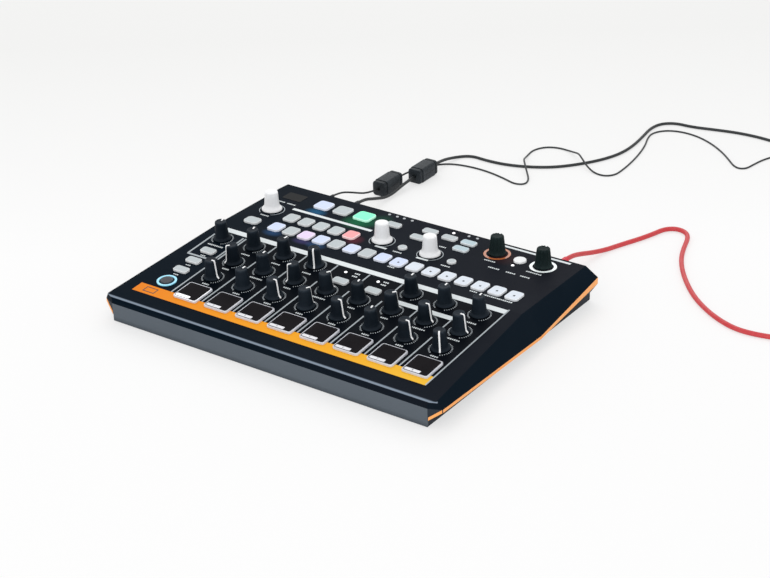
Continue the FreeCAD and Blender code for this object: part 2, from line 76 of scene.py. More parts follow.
# The control deck: two planes that meet at a fold, run measured up the deck from the front lip
deckSet = {"lipY": -109.6, "lipZ": 22.4, "frontTilt": 4.0, "rearTilt": -1.0, "foldRun": 126.3}


def onDeck(across, run, lift=0.0, turn=0.0):
    front = math.radians(deckSet["frontTilt"])
    near = min(run, deckSet["foldRun"])
    y = deckSet["lipY"] + near * math.cos(front)
    z = deckSet["lipZ"] + near * math.sin(front)
    tilt = front
    if run > deckSet["foldRun"]:
        tilt = math.radians(deckSet["rearTilt"])
        y += (run - near) * math.cos(tilt)
        z += (run - near) * math.sin(tilt)
    lean = Matrix.Rotation(tilt, 4, "X")
    spot = Vector((across, y, z)) + lean @ Vector((0, 0, lift))
    return Matrix.Translation(spot * mm) @ lean @ Matrix.Rotation(math.radians(turn), 4, "Z")


# Node trees: a wire is one output socket, and a sheet makes the nodes
class Wire:
    def __init__(self, sheet, socket):
        self.sheet = sheet
        self.socket = socket

    def math(self, operation, first, second=0.0):
        return self.sheet.node("ShaderNodeMath", {"operation": operation}, {0: first, 1: second})

    def __add__(self, other):
        return self.math("ADD", self, other)

    def __radd__(self, other):
        return self.math("ADD", other, self)

    def __sub__(self, other):
        return self.math("SUBTRACT", self, other)

    def __rsub__(self, other):
        return self.math("SUBTRACT", other, self)

    def __mul__(self, other):
        return self.math("MULTIPLY", self, other)

    def __rmul__(self, other):
        return self.math("MULTIPLY", other, self)

    def __truediv__(self, other):
        return self.math("DIVIDE", self, other)

    def __pow__(self, other):
        return self.math("POWER", self, other)

    def most(self, other):
        return self.math("MAXIMUM", self, other)


class Sheet:
    def __init__(self, tree):
        self.tree = tree

    def node(self, kind, settings=None, sockets=None, output=0):
        made = self.tree.nodes.new(kind)
        for name, value in (settings or {}).items():
            if name == "stops":
                ramp = made.color_ramp
                while len(ramp.elements) < len(value):
                    ramp.elements.new(0.5)
                for element, (place, colour) in zip(ramp.elements, value):
                    element.position = place
                    element.color = colour
            else:
                setattr(made, name, value)
        for name, value in (sockets or {}).items():
            if isinstance(value, Wire):
                self.tree.links.new(value.socket, made.inputs[name])
            else:
                made.inputs[name].default_value = value
        return Wire(self, made.outputs[output]) if len(made.outputs) else None

    def math(self, operation, value):
        return self.node("ShaderNodeMath", {"operation": operation}, {0: value})

    def inPicture(self):
        # 1 for what the camera sees straight on, mirrored or through clear parts
        seen, glossy, through = (self.node("ShaderNodeLightPath", output=k) for k in (0, 3, 6))
        return seen.most(glossy).most(through)


def shade(code):
    parts = [int(code[k:k + 2], 16) / 255 for k in (1, 3, 5)]
    return tuple(c / 12.92 if c <= 0.04045 else ((c + 0.055) / 1.055) ** 2.4 for c in parts) + (1.0,)


class Finish(Sheet):
    # One procedural material, built on object coordinates (metres)
    def __init__(self, name):
        self.material = bpy.data.materials.new(name)
        self.material.use_nodes = True
        super().__init__(self.material.node_tree)
        self.tree.nodes.clear()
        self.place = self.node("ShaderNodeTexCoord", output=3)

    def noise(self, scale, detail=3.0, rough=0.55, place=None):
        sockets = {"Vector": place or self.place, "Scale": scale, "Detail": detail, "Roughness": rough}
        return self.node("ShaderNodeTexNoise", {}, sockets)

    def stretch(self, x, y, z):
        return self.node("ShaderNodeMapping", {}, {"Vector": self.place, "Scale": (x, y, z)})

    def axis(self, which):
        return self.node("ShaderNodeSeparateXYZ", {}, {0: self.place}, "XYZ".index(which))

    def spread(self, value, low, high, toLow=0.0, toHigh=1.0):
        sockets = {"Value": value, "From Min": low, "From Max": high, "To Min": toLow, "To Max": toHigh}
        return self.node("ShaderNodeMapRange", {"clamp": True}, sockets)

    def blend(self, share, first, second, kind="MIX"):
        settings = {"data_type": "RGBA", "blend_type": kind}
        return self.node("ShaderNodeMix", settings, {0: share, 6: first, 7: second}, 2)

    def mark(self, name):
        return self.node("ShaderNodeAttribute", {"attribute_name": name}, {}, 2)

    def spot(self, across, run, reachX, reachY):
        # 1 at a point of the deck, fading to 0 at the edge of an ellipse
        centre = onDeck(across, run).translation
        x = (self.axis("X") - centre.x) / (reachX * mm)
        y = (self.axis("Y") - centre.y) / (reachY * mm)
        return (1 - (x * x + y * y)).most(0.0) ** 1.5

    def facing(self, which):
        # The part of the surface's own normal along one axis
        normal = self.node("ShaderNodeTexCoord", output=1)
        return self.node("ShaderNodeSeparateXYZ", {}, {0: normal}, "XYZ".index(which))

    def finish(self, colour, roughness, height=None, depth=0.00002, **constants):
        sockets = {"Base Color": colour, "Roughness": roughness}
        if height is not None:
            bump = {"Height": height, "Distance": depth, "Strength": 0.8}
            sockets["Normal"] = self.node("ShaderNodeBump", {}, bump)
        glow = constants.pop("glow", None)
        if glow is not None:
            sockets["Emission Color"] = glow
        names = {
            "specular": "Specular IOR Level", "metallic": "Metallic", "coat": "Coat Weight",
            "glowStrength": "Emission Strength",
        }
        for key, value in constants.items():
            sockets[names[key]] = value
        surface = self.node("ShaderNodeBsdfPrincipled", {}, sockets)
        self.node("ShaderNodeOutputMaterial", {}, {"Surface": surface})
        return self.material


def mouldedPlastic(name, colour, worn, roughness=0.5, grain=2600, depth=0.00002, drift=0.25,
                   scratches=0.25, **more):
    # Moulded plastic: broad drift, fine grain, faint scratches, and paler edges where a piece marks them
    f = Finish(name)
    broad = f.spread(f.noise(38, 2), 0.35, 0.7)
    fine = f.noise(grain, 4, 0.65)
    lines = f.spread(f.noise(520, 5, 0.7, f.stretch(1, 0.06, 0.4)), 0.62, 0.78)
    lines = lines * f.spread(f.noise(90, 2), 0.45, 0.7)
    edge = f.mark("wear") * f.spread(f.noise(700, 4), 0.3, 0.65)
    tone = f.blend(broad * drift, shade(colour), shade(worn))
    tone = f.blend((lines * scratches + edge * 0.55), tone, shade(worn))
    gloss = roughness + (fine - 0.5) * 0.16 + lines * 0.1 - edge * 0.12
    return f.finish(tone, gloss, fine * 0.6 + lines * 0.25, depth, **more)


# Mesh builders: everything is built in its own millimetres, then put where it belongs
def makePiece(name, verts, faces, place, material, wear=None, sharp=40):
    mesh = bpy.data.meshes.new(name)
    mesh.from_pydata([place @ (Vector(v) * mm) for v in verts], [], faces)
    if wear is not None:
        mesh.attributes.new("wear", "FLOAT", "POINT").data.foreach_set("value", wear)
    mesh.materials.append(material)
    mesh.shade_smooth()
    mesh.set_sharp_from_angle(angle=math.radians(sharp))
    mesh.validate()
    return addObject(name, mesh)


def stack(rings, wears=None):
    # A closed solid through rings of equal count, from the bottom to the top
    count = len(rings[0])
    verts = [v for ring in rings for v in ring]
    faces = []
    for level in range(len(rings) - 1):
        low = level * count
        for k in range(count):
            after = (k + 1) % count
            faces.append((low + k, low + after, low + count + after, low + count + k))
    wear = [w for w in (wears or [0.0] * len(rings)) for _ in range(count)]
    for ring, start, flip in ((rings[0], 0, True), (rings[-1], len(verts) - count, False)):
        middle = sum((Vector(v) for v in ring), Vector()) / count
        centre = len(verts)
        verts.append(tuple(middle))
        wear.append(0.0)
        for k in range(count):
            a, b = start + k, start + (k + 1) % count
            faces.append((b, a, centre) if flip else (a, b, centre))
    return verts, faces, wear


def circle(radius, height, segments, flutes=0, groove=0.0):
    ring = []
    for k in range(segments):
        angle = math.tau * k / segments
        cut = groove * max(0.0, math.cos(flutes * angle)) ** 0.7 if flutes else 0.0
        ring.append(((radius - cut) * math.cos(angle), (radius - cut) * math.sin(angle), height))
    return ring


def roundedRing(width, depth, corner, height, steps=5):
    ring = []
    for quarter in range(4):
        cx = (width / 2 - corner) * (1 if quarter in (0, 3) else -1)
        cy = (depth / 2 - corner) * (1 if quarter in (0, 1) else -1)
        for k in range(steps + 1):
            angle = math.pi / 2 * (quarter + k / steps)
            ring.append((cx + corner * math.cos(angle), cy + corner * math.sin(angle), height))
    return ring


def lathe(name, profile, place, material, segments=56, sharp=40, flutes=0, groove=0.0, fluted=(0, 0)):
    rings = []
    wears = []
    for k, (radius, height, wear) in enumerate(profile):
        cut = groove if fluted[0] <= k < fluted[1] else 0.0
        rings.append(circle(radius, height, segments, flutes, cut))
        wears.append(wear)
    verts, faces, wear = stack(rings, wears)
    return makePiece(name, verts, faces, place, material, wear, sharp)


def keyCap(name, cap, place, material):
    # A rounded cap: straight sides, a filleted rim and a flat top
    w, d, c, h, f = (cap[k] for k in ("width", "depth", "corner", "height", "fillet"))
    rings = [roundedRing(w, d, c, -cap["sunk"]), roundedRing(w, d, c, h - f)]
    wears = [0.0, 0.1]
    steps = 5
    for k in range(1, steps + 1):
        angle = math.pi / 2 * k / steps
        inset = f * (1 - math.cos(angle))
        height = h - f + f * math.sin(angle)
        rings.append(roundedRing(w - 2 * inset, d - 2 * inset, max(c - inset, 0.2), height))
        wears.append(0.9 if k < steps else 0.4)
    for share in (0.72, 0.4):
        rings.append(roundedRing((w - 2 * f) * share, (d - 2 * f) * share, c * share * 0.8, h))
        wears.append(0.0)
    verts, faces, wear = stack(rings, wears)
    return makePiece(name, verts, faces, place, material, wear)


inkSet = {"low": -0.03, "high": 0.07}


def bar(across, run, width, depth, lift=inkSet["high"], turn=0.0):
    # A flat printed bar on the deck as four corners and its thickness
    place = onDeck(across, run, 0.0, turn)
    w, d = width / 2, depth / 2
    verts = [(sx * w, sy * d, z) for z in (inkSet["low"], lift) for sx, sy in ((-1, -1), (1, -1), (1, 1), (-1, 1))]
    faces = [(3, 2, 1, 0), (4, 5, 6, 7), (0, 1, 5, 4), (1, 2, 6, 5), (2, 3, 7, 6), (3, 0, 4, 7)]
    return [place @ (Vector(v) * mm) for v in verts], faces


def printed(name, bars, material, body="root"):
    verts = []
    faces = []
    for corners, quads in bars:
        start = len(verts)
        verts += [c / mm for c in corners]
        faces += [tuple(start + k for k in quad) for quad in quads]
    piece = makePiece(name, verts, faces, Matrix.Identity(4), material)
    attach(piece, body)


def flatRing(name, across, run, inner, outer, low, high, material, body="root", start=0.0, sweep=360.0):
    # A flat ring or arc with square edges, standing on the deck
    steps = 72
    closed = sweep >= 360
    count = steps if closed else steps + 1
    verts = []
    for k in range(count):
        angle = math.radians(start + sweep * k / steps)
        for radius, height in ((inner, low), (outer, low), (outer, high), (inner, high)):
            verts.append((radius * math.cos(angle), radius * math.sin(angle), height))
    faces = []
    for k in range(steps):
        a, b = 4 * k, 4 * ((k + 1) % count)
        for side in range(4):
            after = (side + 1) % 4
            faces.append((a + side, a + after, b + after, b + side))
    if not closed:
        last = 4 * (count - 1)
        faces += [(3, 2, 1, 0), (last, last + 1, last + 2, last + 3)]
    faces = [tuple(reversed(face)) for face in faces]
    piece = makePiece(name, verts, faces, onDeck(across, run), material)
    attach(piece, body)


# Light that lit keys and one ring throw on the deck: place, reach each way and colour
keyLight = [
    (-51, 192, 17, 15, "#0b6a3c"), (-36, 203, 12, 16, "#08432a"), (-92, 190, 12, 8, "#1c5d86"),
    (-98, 138, 11, 7, "#22436b"), (-68, 138, 11, 6, "#3b3461"), (-54, 138, 11, 7, "#24476c"),
    (-33, 163, 9, 10, "#5a1c28"), (88, 199, 13, 13, "#2a1109"),
]


# Finishes of this machine
def deckFinish():
    # Fine-textured painted deck with the coloured light that some keys throw on it, painted light that makes it
    # paler towards the right rear, and a painted highlight along the lip
    f = Finish("deckPaint")
    # Painted light: the top is painted from dark at the left front to paler at the right rear
    toRight = f.spread(f.axis("X"), -0.15, 0.16)
    toRear = f.spread(f.axis("Y"), -0.11, 0.11)
    share = f.spread(toRight * 0.75 + toRear * 0.45, 0.25, 1.1)
    grain = f.noise(2300, 5, 0.7)
    dust = f.spread(f.noise(900, 2, 0.5), 0.72, 0.8)
    smudge = f.spread(f.noise(24, 3), 0.42, 0.72)
    tone = f.blend(share, shade("#04121d"), shade("#1d1f26"))
    across = f.spread(f.axis("X"), -0.113, -0.104) * f.spread(f.axis("X"), 0.139, 0.134)
    field = across * f.spread(f.axis("Y"), 0.016, 0.008) * f.spread(f.axis("Y"), -0.101, -0.096)
    tone = f.blend(field * 0.75, tone, shade("#05080d"))
    side = f.spread(f.math("ABSOLUTE", f.facing("X")), 0.25, 0.5)
    tone = f.blend(side, tone, shade("#0c1822"))
    tone = f.blend(smudge * 0.08, tone, shade("#1e2832"))
    tone = f.blend(dust * 0.08, tone, shade("#4c535c"))
    # Painted highlight: a thin pale line along the top of the rounded front lip
    front = f.spread(f.axis("Y"), -0.1088, -0.1098)
    lip = front * f.spread(f.axis("Z"), 0.0210, 0.0214) * f.spread(f.axis("Z"), 0.0223, 0.0219)
    tone = f.blend(lip * 0.7, tone, shade("#a3b2c4"))
    gloss = 0.55 + (grain - 0.5) * 0.18 - smudge * 0.05
    glow = (0, 0, 0, 1)
    for spot in keyLight:
        glow = f.blend(f.spot(*spot[:4]), glow, shade(spot[4]), "ADD")
    return f.finish(tone, gloss, grain, 0.000025, specular=0.02, glow=glow, glowStrength=0.8)


def slateFinish():
    f = Finish("slateBase")
    grain = f.noise(1900, 5, 0.7)
    smudge = f.spread(f.noise(20, 3), 0.4, 0.75)
    side = f.spread(f.axis("Y"), -0.1112, -0.1124)
    inside = f.spread(f.math("ABSOLUTE", f.axis("X")), 0.1482, 0.1478)
    tone = f.blend(side * inside, shade("#252c35"), shade("#5c646c"))
    tone = f.blend(smudge * 0.15, tone, shade("#6d757e"))
    # Painted shade: the base is painted darker towards the bottom, next to the floor
    low = f.spread(f.axis("Z"), 0.005, 0.001)
    tone = f.blend(low * 0.45, tone, shade("#22272d"))
    return f.finish(tone, 0.55 + (grain - 0.5) * 0.2, grain, 0.00003, specular=0.12)


def bandFinish():
    # The printed band in front of the pads, orange at the left and yellow at the right
    f = Finish("bandPrint")
    share = f.spread(f.axis("X"), -0.14, 0.13)
    stops = [(0.0, "#f2871c"), (0.35, "#f99e1c"), (0.7, "#fbb224"), (1.0, "#fbc238")]
    stops = [(spot, shade(code)) for spot, code in stops]
    tone = f.node("ShaderNodeValToRGB", {"stops": stops}, {"Fac": share})
    grain = f.noise(2400, 4)
    worn = f.spread(f.noise(160, 5, 0.7), 0.66, 0.74)
    tone = f.blend(worn * 0.25, tone, shade("#c98a4e"))
    return f.finish(tone, 0.55 + (grain - 0.5) * 0.2, grain, 0.00001, specular=0.08)


def clearFinish(name, colour, shadow, glowStrength):
    # Milky clear plastic with light inside where the part is lit; a faint glow on an unlit part is painted light
    f = Finish(name)
    cloud = f.spread(f.noise(260, 3), 0.3, 0.7)
    grain = f.noise(3000, 3)
    tone = f.blend(cloud * 0.35, shade(colour), shade(shadow))
    glow = f.blend(cloud * 0.5, shade(colour), shade(shadow))
    gloss = 0.28 + (grain - 0.5) * 0.12
    return f.finish(tone, gloss, grain, 0.00001, coat=0.3, glow=glow, glowStrength=glowStrength)


def metalFinish(name, colour):
    f = Finish(name)
    lines = f.noise(1800, 4, 0.6, f.stretch(1, 0.1, 1))
    tone = f.blend(f.spread(lines, 0.3, 0.7) * 0.4, shade(colour), shade("#8a8d92"))
    return f.finish(tone, 0.24 + lines * 0.2, lines, 0.00001, metallic=1.0)


def jacketFinish(name, colour, worn, roughness):
    # A lead's jacket: soft plastic with fine grain and dust
    f = Finish(name)
    fine = f.noise(1500, 4, 0.7)
    dust = f.spread(f.noise(140, 4), 0.5, 0.8)
    tone = f.blend(dust * 0.3, shade(colour), shade(worn))
    return f.finish(tone, roughness + (fine - 0.5) * 0.2, fine, 0.00002, coat=0.1)


def boardFinish():
    f = Finish("boardMask")
    fine = f.noise(800, 3)
    tracks = f.spread(f.noise(240, 1, 0.3, f.stretch(1, 0.25, 1)), 0.5, 0.53)
    tone = f.blend(tracks * 0.5, shade("#0d4a2b"), shade("#1c6b40"))
    return f.finish(tone, 0.35 + fine * 0.15, tracks, 0.00002, coat=0.2)


def windowFinish():
    f = Finish("windowPane")
    fine = f.noise(60, 3)
    tone = f.blend(f.spread(fine, 0.4, 0.7) * 0.4, shade("#06090d"), shade("#0f1318"))
    return f.finish(tone, 0.3 + fine * 0.1, fine, 0.000002, specular=0.05)


finishes = {
    "deck": deckFinish(),
    "slate": slateFinish(),
    "band": bandFinish(),
    # The orange trim glows faintly in its own colour: painted light
    "trim": mouldedPlastic("trimOrange", "#f39a42", "#f8bd7c", 0.42, drift=0.5,
                           glow=shade("#f39a42"), glowStrength=0.12),
    "knob": mouldedPlastic("knobBlack", "#0f171f", "#36414c", 0.52, drift=0.3, specular=0.08),
    "outputKnob": mouldedPlastic("outputKnobBlack", "#0f1c1d", "#2f3d3d", 0.55, drift=0.3, specular=0.08),
    # The white encoders and the white pointer lines glow faintly: painted light that keeps them white
    "encoder": mouldedPlastic("encoderWhite", "#f4f5f7", "#ffffff", 0.34, drift=0.2, coat=0.1,
                              glow=shade("#ffffff"), glowStrength=0.06),
    "pointer": mouldedPlastic("pointerWhite", "#fafbfc", "#e3e7ea", 0.4,
                              glow=shade("#ffffff"), glowStrength=0.12),
    "padRubber": mouldedPlastic("padRubber", "#141215", "#2b282b", 0.78,
                                grain=1700, depth=0.00005, specular=0.06),
    # Only pad 1 is lit; the faint glow of the other pad bases and of the frames is painted light
    "padBase": clearFinish("padBaseMilky", "#e6e6ea", "#c6c8d4", 0.08),
    "padBaseLit": clearFinish("padBaseLit", "#ffffff", "#eef0ff", 0.5),
    "padFrame": clearFinish("padFrameMilky", "#d9dbe2", "#b3b7c3", 0.04),
    "print": mouldedPlastic("printWhite", "#e9f0f2", "#c6ced3", 0.5, scratches=0.5),
    "printGrey": mouldedPlastic("printGrey", "#aeb7bc", "#8d959b", 0.55, scratches=0.5),
    "tick": mouldedPlastic("printTick", "#c3cbd0", "#99a1a7", 0.5, scratches=0.5),
    "printDark": mouldedPlastic("printDark", "#2a2f36", "#555b63", 0.6),
    "ringOrange": clearFinish("ringOrange", "#bd6a3a", "#93502b", 0.12),
    "ringWhite": clearFinish("ringWhite", "#f6fbfb", "#d5e6e6", 0.25),
    "ringBlue": clearFinish("ringBlue", "#8fd6ec", "#5fb2d2", 0.3),
    "lensLit": clearFinish("lensLit", "#ffffff", "#f4f4ff", 0.8),
    "lensOff": clearFinish("lensOff", "#b9bec2", "#8a9298", 0.0),
    "window": windowFinish(),
    "board": boardFinish(),
    "component": mouldedPlastic("componentGrey", "#2c2f33", "#6a6f75", 0.5),
    "foot": mouldedPlastic("footRubber", "#191a1c", "#3a3c40", 0.8, grain=1500, depth=0.00005),
    "socket": mouldedPlastic("socketBlack", "#14161a", "#3f444b", 0.45),
    "metal": metalFinish("platedSteel", "#c9ccd1"),
    "ferrite": mouldedPlastic("ferriteShell", "#171c20", "#434b52", 0.5, specular=0.2),
    "blackJacket": jacketFinish("blackJacket", "#14191c", "#3c444a", 0.5),
    "redJacket": jacketFinish("redJacket", "#cf383e", "#df6663", 0.5),
    "blackPlug": mouldedPlastic("plugBlack", "#15191d", "#474e56", 0.5),
    "redPlug": mouldedPlastic("plugRed", "#dd1830", "#ee6a76", 0.45),
}
print("finishes made:", len(finishes))


def keyFinish(name, colour, glowStrength):
    # White key plastic: slightly clouded, with a touch of light where the key is lit, painted light on the unlit
    # white keys, and a painted highlight on the sloping rim
    f = Finish(name)
    cloud = f.spread(f.noise(150, 3), 0.3, 0.75)
    grain = f.noise(3200, 3, 0.6)
    rub = f.mark("wear") * f.spread(f.noise(500, 4), 0.35, 0.65)
    tone = f.blend(cloud * 0.15, shade(colour), shade("#aeb6bb"))
    # Painted highlight: the sloping rim of the cap is painted paler; rubbed spots on the edge are paler too, from
    # wear
    rim = f.spread(f.facing("Z"), 0.985, 0.93)
    tone = f.blend((rim * 0.6 + rub * 0.3), tone, shade("#fbfcfd"))
    gloss = 0.4 + (grain - 0.5) * 0.14
    return f.finish(tone, gloss, grain, 0.000008, specular=0.25,
                    glow=shade(colour), glowStrength=glowStrength)


# Leads: given points along the table (mm), then the turns of a put-away coil
leadSets = {
    "power_lead": {
        "diameter": 2.8, "length": 1.19, "plugRadius": 4.7, "cord": "blackJacket", "plug": "blackPlug",
        "route": [
            (-94, 143.3, 13), (-94, 153, 12.2), (-92.6, 164, 8.4), (-91.4, 184.5, 2.2), (-90.5, 211, 7),
            (-90.5, 264, 7), (-88.8, 290, 1.4), (-78, 299.5, 1.4), (-61, 297.5, 1.4), (-41, 298.5, 1.4),
            (-20, 305, 1.4), (0, 316.5, 1.4), (16, 334, 1.4), (29, 354, 1.4), (36.5, 374, 1.4),
            (38, 396, 1.4), (35.5, 420, 1.4), (32.5, 441, 1.4), (35.5, 456, 1.4), (47, 464.5, 1.4),
            (64, 464, 1.4), (85, 469, 1.4), (107, 473.5, 1.4), (128, 474, 1.4), (146, 471.5, 1.4),
            (158, 477.5, 1.4), (164, 489, 1.4), (164, 501, 1.4)],
    },
    "sync_lead": {
        "diameter": 1.7, "length": 1.1, "plugRadius": 3.05, "cord": "blackJacket", "plug": "blackPlug",
        "route": [
            (-121, 143.3, 13), (-120.6, 151.5, 12.4), (-118, 160.5, 10.2), (-102.3, 173, 7),
            (-102.3, 225, 7), (-104.2, 250, 0.85), (-97, 266, 0.85), (-84, 276.5, 0.85),
            (-64, 279.5, 0.85), (-45, 278, 0.85), (-26, 273, 0.85), (-13, 268, 0.85), (-4, 272, 0.85),
            (-6, 282, 1.2), (-14, 291.5, 3.4), (-20.5, 299, 6.7), (-26.5, 307, 6.7), (-31, 316.5, 3.4),
            (-35, 328, 0.85), (-37, 341, 0.85), (-31, 353, 0.85), (-19, 358, 0.85), (-6, 356, 1.2),
            (4, 349, 4.4), (9.5, 344, 6.7), (16, 338, 6.7), (26, 330, 3.6), (36, 325.5, 0.85),
            (47, 324, 0.85), (54.5, 331, 0.85), (55, 345, 0.85), (53.8, 364, 0.85), (51, 384, 0.85),
            (46.5, 404, 0.85), (40.5, 420, 0.85), (38.5, 433, 0.85), (46, 445, 0.85), (60, 450, 0.85),
            (78, 448, 0.85), (97, 439, 0.85), (115, 425.5, 0.85), (128, 412.5, 0.85), (136, 404, 0.85),
            (143, 401, 0.85), (148.5, 405, 0.85), (150, 415, 0.85), (153, 430, 0.85), (159, 443, 0.85),
            (162, 455, 0.85), (162, 466, 0.85)],
    },
    "patch_lead": {
        "diameter": 4.0, "length": 1.31, "plugRadius": 5.2, "cord": "redJacket", "plug": "redPlug",
        "route": [
            (112.5, 143.3, 13), (112.7, 152, 12.4), (114, 164, 9.2), (116.5, 178, 5), (121, 194, 2),
            (127.5, 210, 2), (135, 226, 2), (140.5, 241, 2), (144, 253.5, 2), (152.5, 260, 2),
            (163, 257.3, 2), (169, 248, 2), (174, 230, 2), (181, 211.5, 2), (191.5, 193, 2),
            (205, 174.5, 2), (220, 157.5, 2), (237, 143.5, 2), (254.5, 133, 2), (272, 127, 2),
            (291, 128.5, 2), (306, 133, 2), (316, 142.5, 2), (319, 156, 2), (319, 169, 2)],
    },
}
coilSet = {"turns": 3, "across": 11.0, "gap": 0.5, "stepsPerHalf": 8}
plugSet = {"body": 20.0, "boot": 10.0, "rear": 113.3, "height": 13.0}


def coilPoints(start, diameter):
    # Turns that spiral in on the floor, climb at the inside and spiral out on top
    pitch = diameter + coilSet["gap"]
    outer = coilSet["across"] * diameter / 2 + coilSet["turns"] * pitch / 2
    halves = 2 * coilSet["turns"]
    radii = [outer - k * pitch / 2 for k in range(halves + 1)]
    radii += [outer - (halves - 1 - k) * pitch / 2 for k in range(halves)]
    heading = Vector((0, 1, 0))
    inward = Vector((1, 0, 0))
    spot = Vector(start) + heading * diameter
    points = [spot.copy()]
    for count, radius in enumerate(radii):
        centre = spot + inward * radius
        rise = pitch if count == halves else 0.0
        for k in range(1, coilSet["stepsPerHalf"] + 1):
            angle = math.pi * k / coilSet["stepsPerHalf"]
            lift = Vector((0, 0, rise * k / coilSet["stepsPerHalf"]))
            inside = centre - inward * radius * math.cos(angle)
            points.append(inside + heading * radius * math.sin(angle) + lift)
        spot = points[-1].copy()
        heading = -heading
        inward = -inward
    return points, heading, outer


def makeCord(name, settings):
    diameter = settings["diameter"]
    turns, heading, outer = coilPoints(settings["route"][-1], diameter)
    tail = math.sqrt(2 * outer * (settings["plugRadius"] + diameter)) + 2
    end = turns[-1] + heading * tail
    points = [Vector(p) for p in settings["route"]] + turns + [end]
    curve = bpy.data.curves.new(name, "CURVE")
    curve.dimensions = "3D"
    spline = curve.splines.new("NURBS")
    spline.points.add(len(points) - 1)
    for point, place in zip(spline.points, points):
        point.co = (*(place * mm), 1.0)
    spline.order_u = 3
    spline.use_endpoint_u = True
    spline.resolution_u = 6
    curve.bevel_depth = diameter / 2 * mm
    curve.bevel_resolution = 4
    curve.use_fill_caps = True
    curve.materials.append(finishes[settings["cord"]])
    return addObject(name + "_cord", curve), end, heading


def plugProfile(radius, cord):
    # Grip with shallow ribs, shoulder, and a boot that thins in steps towards the cord
    profile = [(radius - 0.7, 0.0, 0.3), (radius - 0.15, 0.35, 0.9), (radius, 0.8, 0.4), (radius, 4.6, 0.2)]
    for k in range(6):
        z = 5.0 + 1.9 * k
        profile += [(radius - 0.45, z + 0.15, 0.0), (radius - 0.45, z + 0.75, 0.0)]
        profile += [(radius - 0.02, z + 0.9, 0.8), (radius - 0.02, z + 1.6, 0.5)]
    profile += [(radius - 0.05, 18.6, 0.3), (radius - 0.6, 19.8, 0.7)]
    wide = cord + 0.9
    for k in range(4):
        z = 20.6 + 2.2 * k
        step = 0.08 * k
        profile += [(wide - step, z, 0.2), (wide - step, z + 1.3, 0.6), (wide - step - 0.35, z + 1.5, 0.0)]
        profile += [(wide - step - 0.35, z + 2.0, 0.0)]
    profile += [(cord + 0.5, 29.6, 0.4), (cord + 0.25, 30.0, 0.2)]
    return profile


def makePlug(name, settings, place):
    # The body and its plated pin, pointing down its own Z
    bodyProfile = plugProfile(settings["plugRadius"], settings["diameter"] / 2)
    body = lathe(name + "_body", bodyProfile, place, finishes[settings["plug"]])
    pinProfile = [(0.3, -12.0, 0), (1.1, -11.4, 0), (1.55, -10.4, 0), (1.2, -9.4, 0), (1.65, -8.8, 0)]
    pinProfile += [(1.65, -6.2, 0), (1.45, -6.1, 0), (1.45, -5.7, 0), (1.65, -5.6, 0), (1.65, 0.2, 0)]
    pin = lathe(name + "_pin", pinProfile, place, finishes["metal"], 24)
    for piece in (body, pin):
        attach(piece, "root")
    return [body, pin]


ferriteSet = {
    "size": 7.0, "half": 14.0, "corner": 2.6, "seamWidth": 0.6, "seamDepth": 0.5, "seamHalf": 7.6,
    "spots": {"power_lead": (-90.5, 237.6, 7.0), "sync_lead": (-102.3, 198.9, 7.0)},
}


def ferriteCore(name, centre, diameter):
    # A clip-on shell, square with rounded edges, with a collar at each end and a seam along two sides
    size, half = ferriteSet["size"], ferriteSet["half"]
    bore = diameter / 2 + 0.5
    levels = [(bore, -half + 1.2, 0), (bore, -half, 0), (size - 1.2, -half, 0.5)]
    levels += [(size - 0.45, -half + 0.35, 0.9), (size - 0.3, -half + 1.0, 0.4)]
    levels += [(size - 0.3, -half + 3.0, 0.2), (size - 0.7, -half + 3.3, 0.3)]
    levels += [(size - 0.7, -half + 4.2, 0.1), (size, -half + 4.6, 0.8)]
    levels += [(radius, -along, wear) for radius, along, wear in reversed(levels)]
    rings = []
    for radius, along, _ in levels:
        corner = min(ferriteSet["corner"], radius * 0.98)
        rings.append(roundedRing(2 * radius, 2 * radius, corner, along, 4))
    verts, faces, wear = stack(rings, [level[2] for level in levels])
    place = Matrix.Translation(Vector(centre) * mm) @ Matrix.Rotation(-math.pi / 2, 4, "X")
    shell = makePiece(name, verts, faces, place, finishes["ferrite"], wear)
    details = []
    for side in (-1, 1):
        w, d, end = (ferriteSet[k] for k in ("seamWidth", "seamDepth", "seamHalf"))
        seamVerts, seamFaces, _ = stack([roundedRing(w, d, 0.12, along, 2) for along in (-end, end)])
        spot = place @ Matrix.Translation(Vector((side * (size - 0.1), 0, 0)) * mm)
        details.append(makePiece(f"{name}_seam_{side + 2}", seamVerts, seamFaces, spot, finishes["socket"]))
    for piece in [shell] + details:
        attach(piece, "root")
    return [shell] + details


for count, (name, settings) in enumerate(leadSets.items()):
    cord, end, heading = makeCord(name, settings)
    seat = Vector((settings["route"][0][0], plugSet["rear"], plugSet["height"]))
    nearPlace = Matrix.Translation(seat * mm) @ Matrix.Rotation(-math.pi / 2, 4, "X")
    tip = end + heading * (plugSet["body"] + plugSet["boot"])
    turn = Vector((0, 0, 1)).rotation_difference(-heading).to_matrix().to_4x4()
    near = makePlug(name + "_near_plug", settings, nearPlace)
    far = makePlug(name + "_end_plug", settings, Matrix.Translation(tip * mm) @ turn)
    others = near + far
    if name in ferriteSet["spots"]:
        others += ferriteCore(name + "_ferrite", ferriteSet["spots"][name], settings["diameter"])
    if count == 0:
        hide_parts("lead_plugs")
        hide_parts("end_plugs")
        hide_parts("ferrite_cores")
    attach(cord, "root")
    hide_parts(name, name + "_coil")
print("leads laid")

# The floor and the light
floorSet = {"size": 6.0, "near": "#ffffff", "far": "#f3f3f2", "ownLight": 0.6}


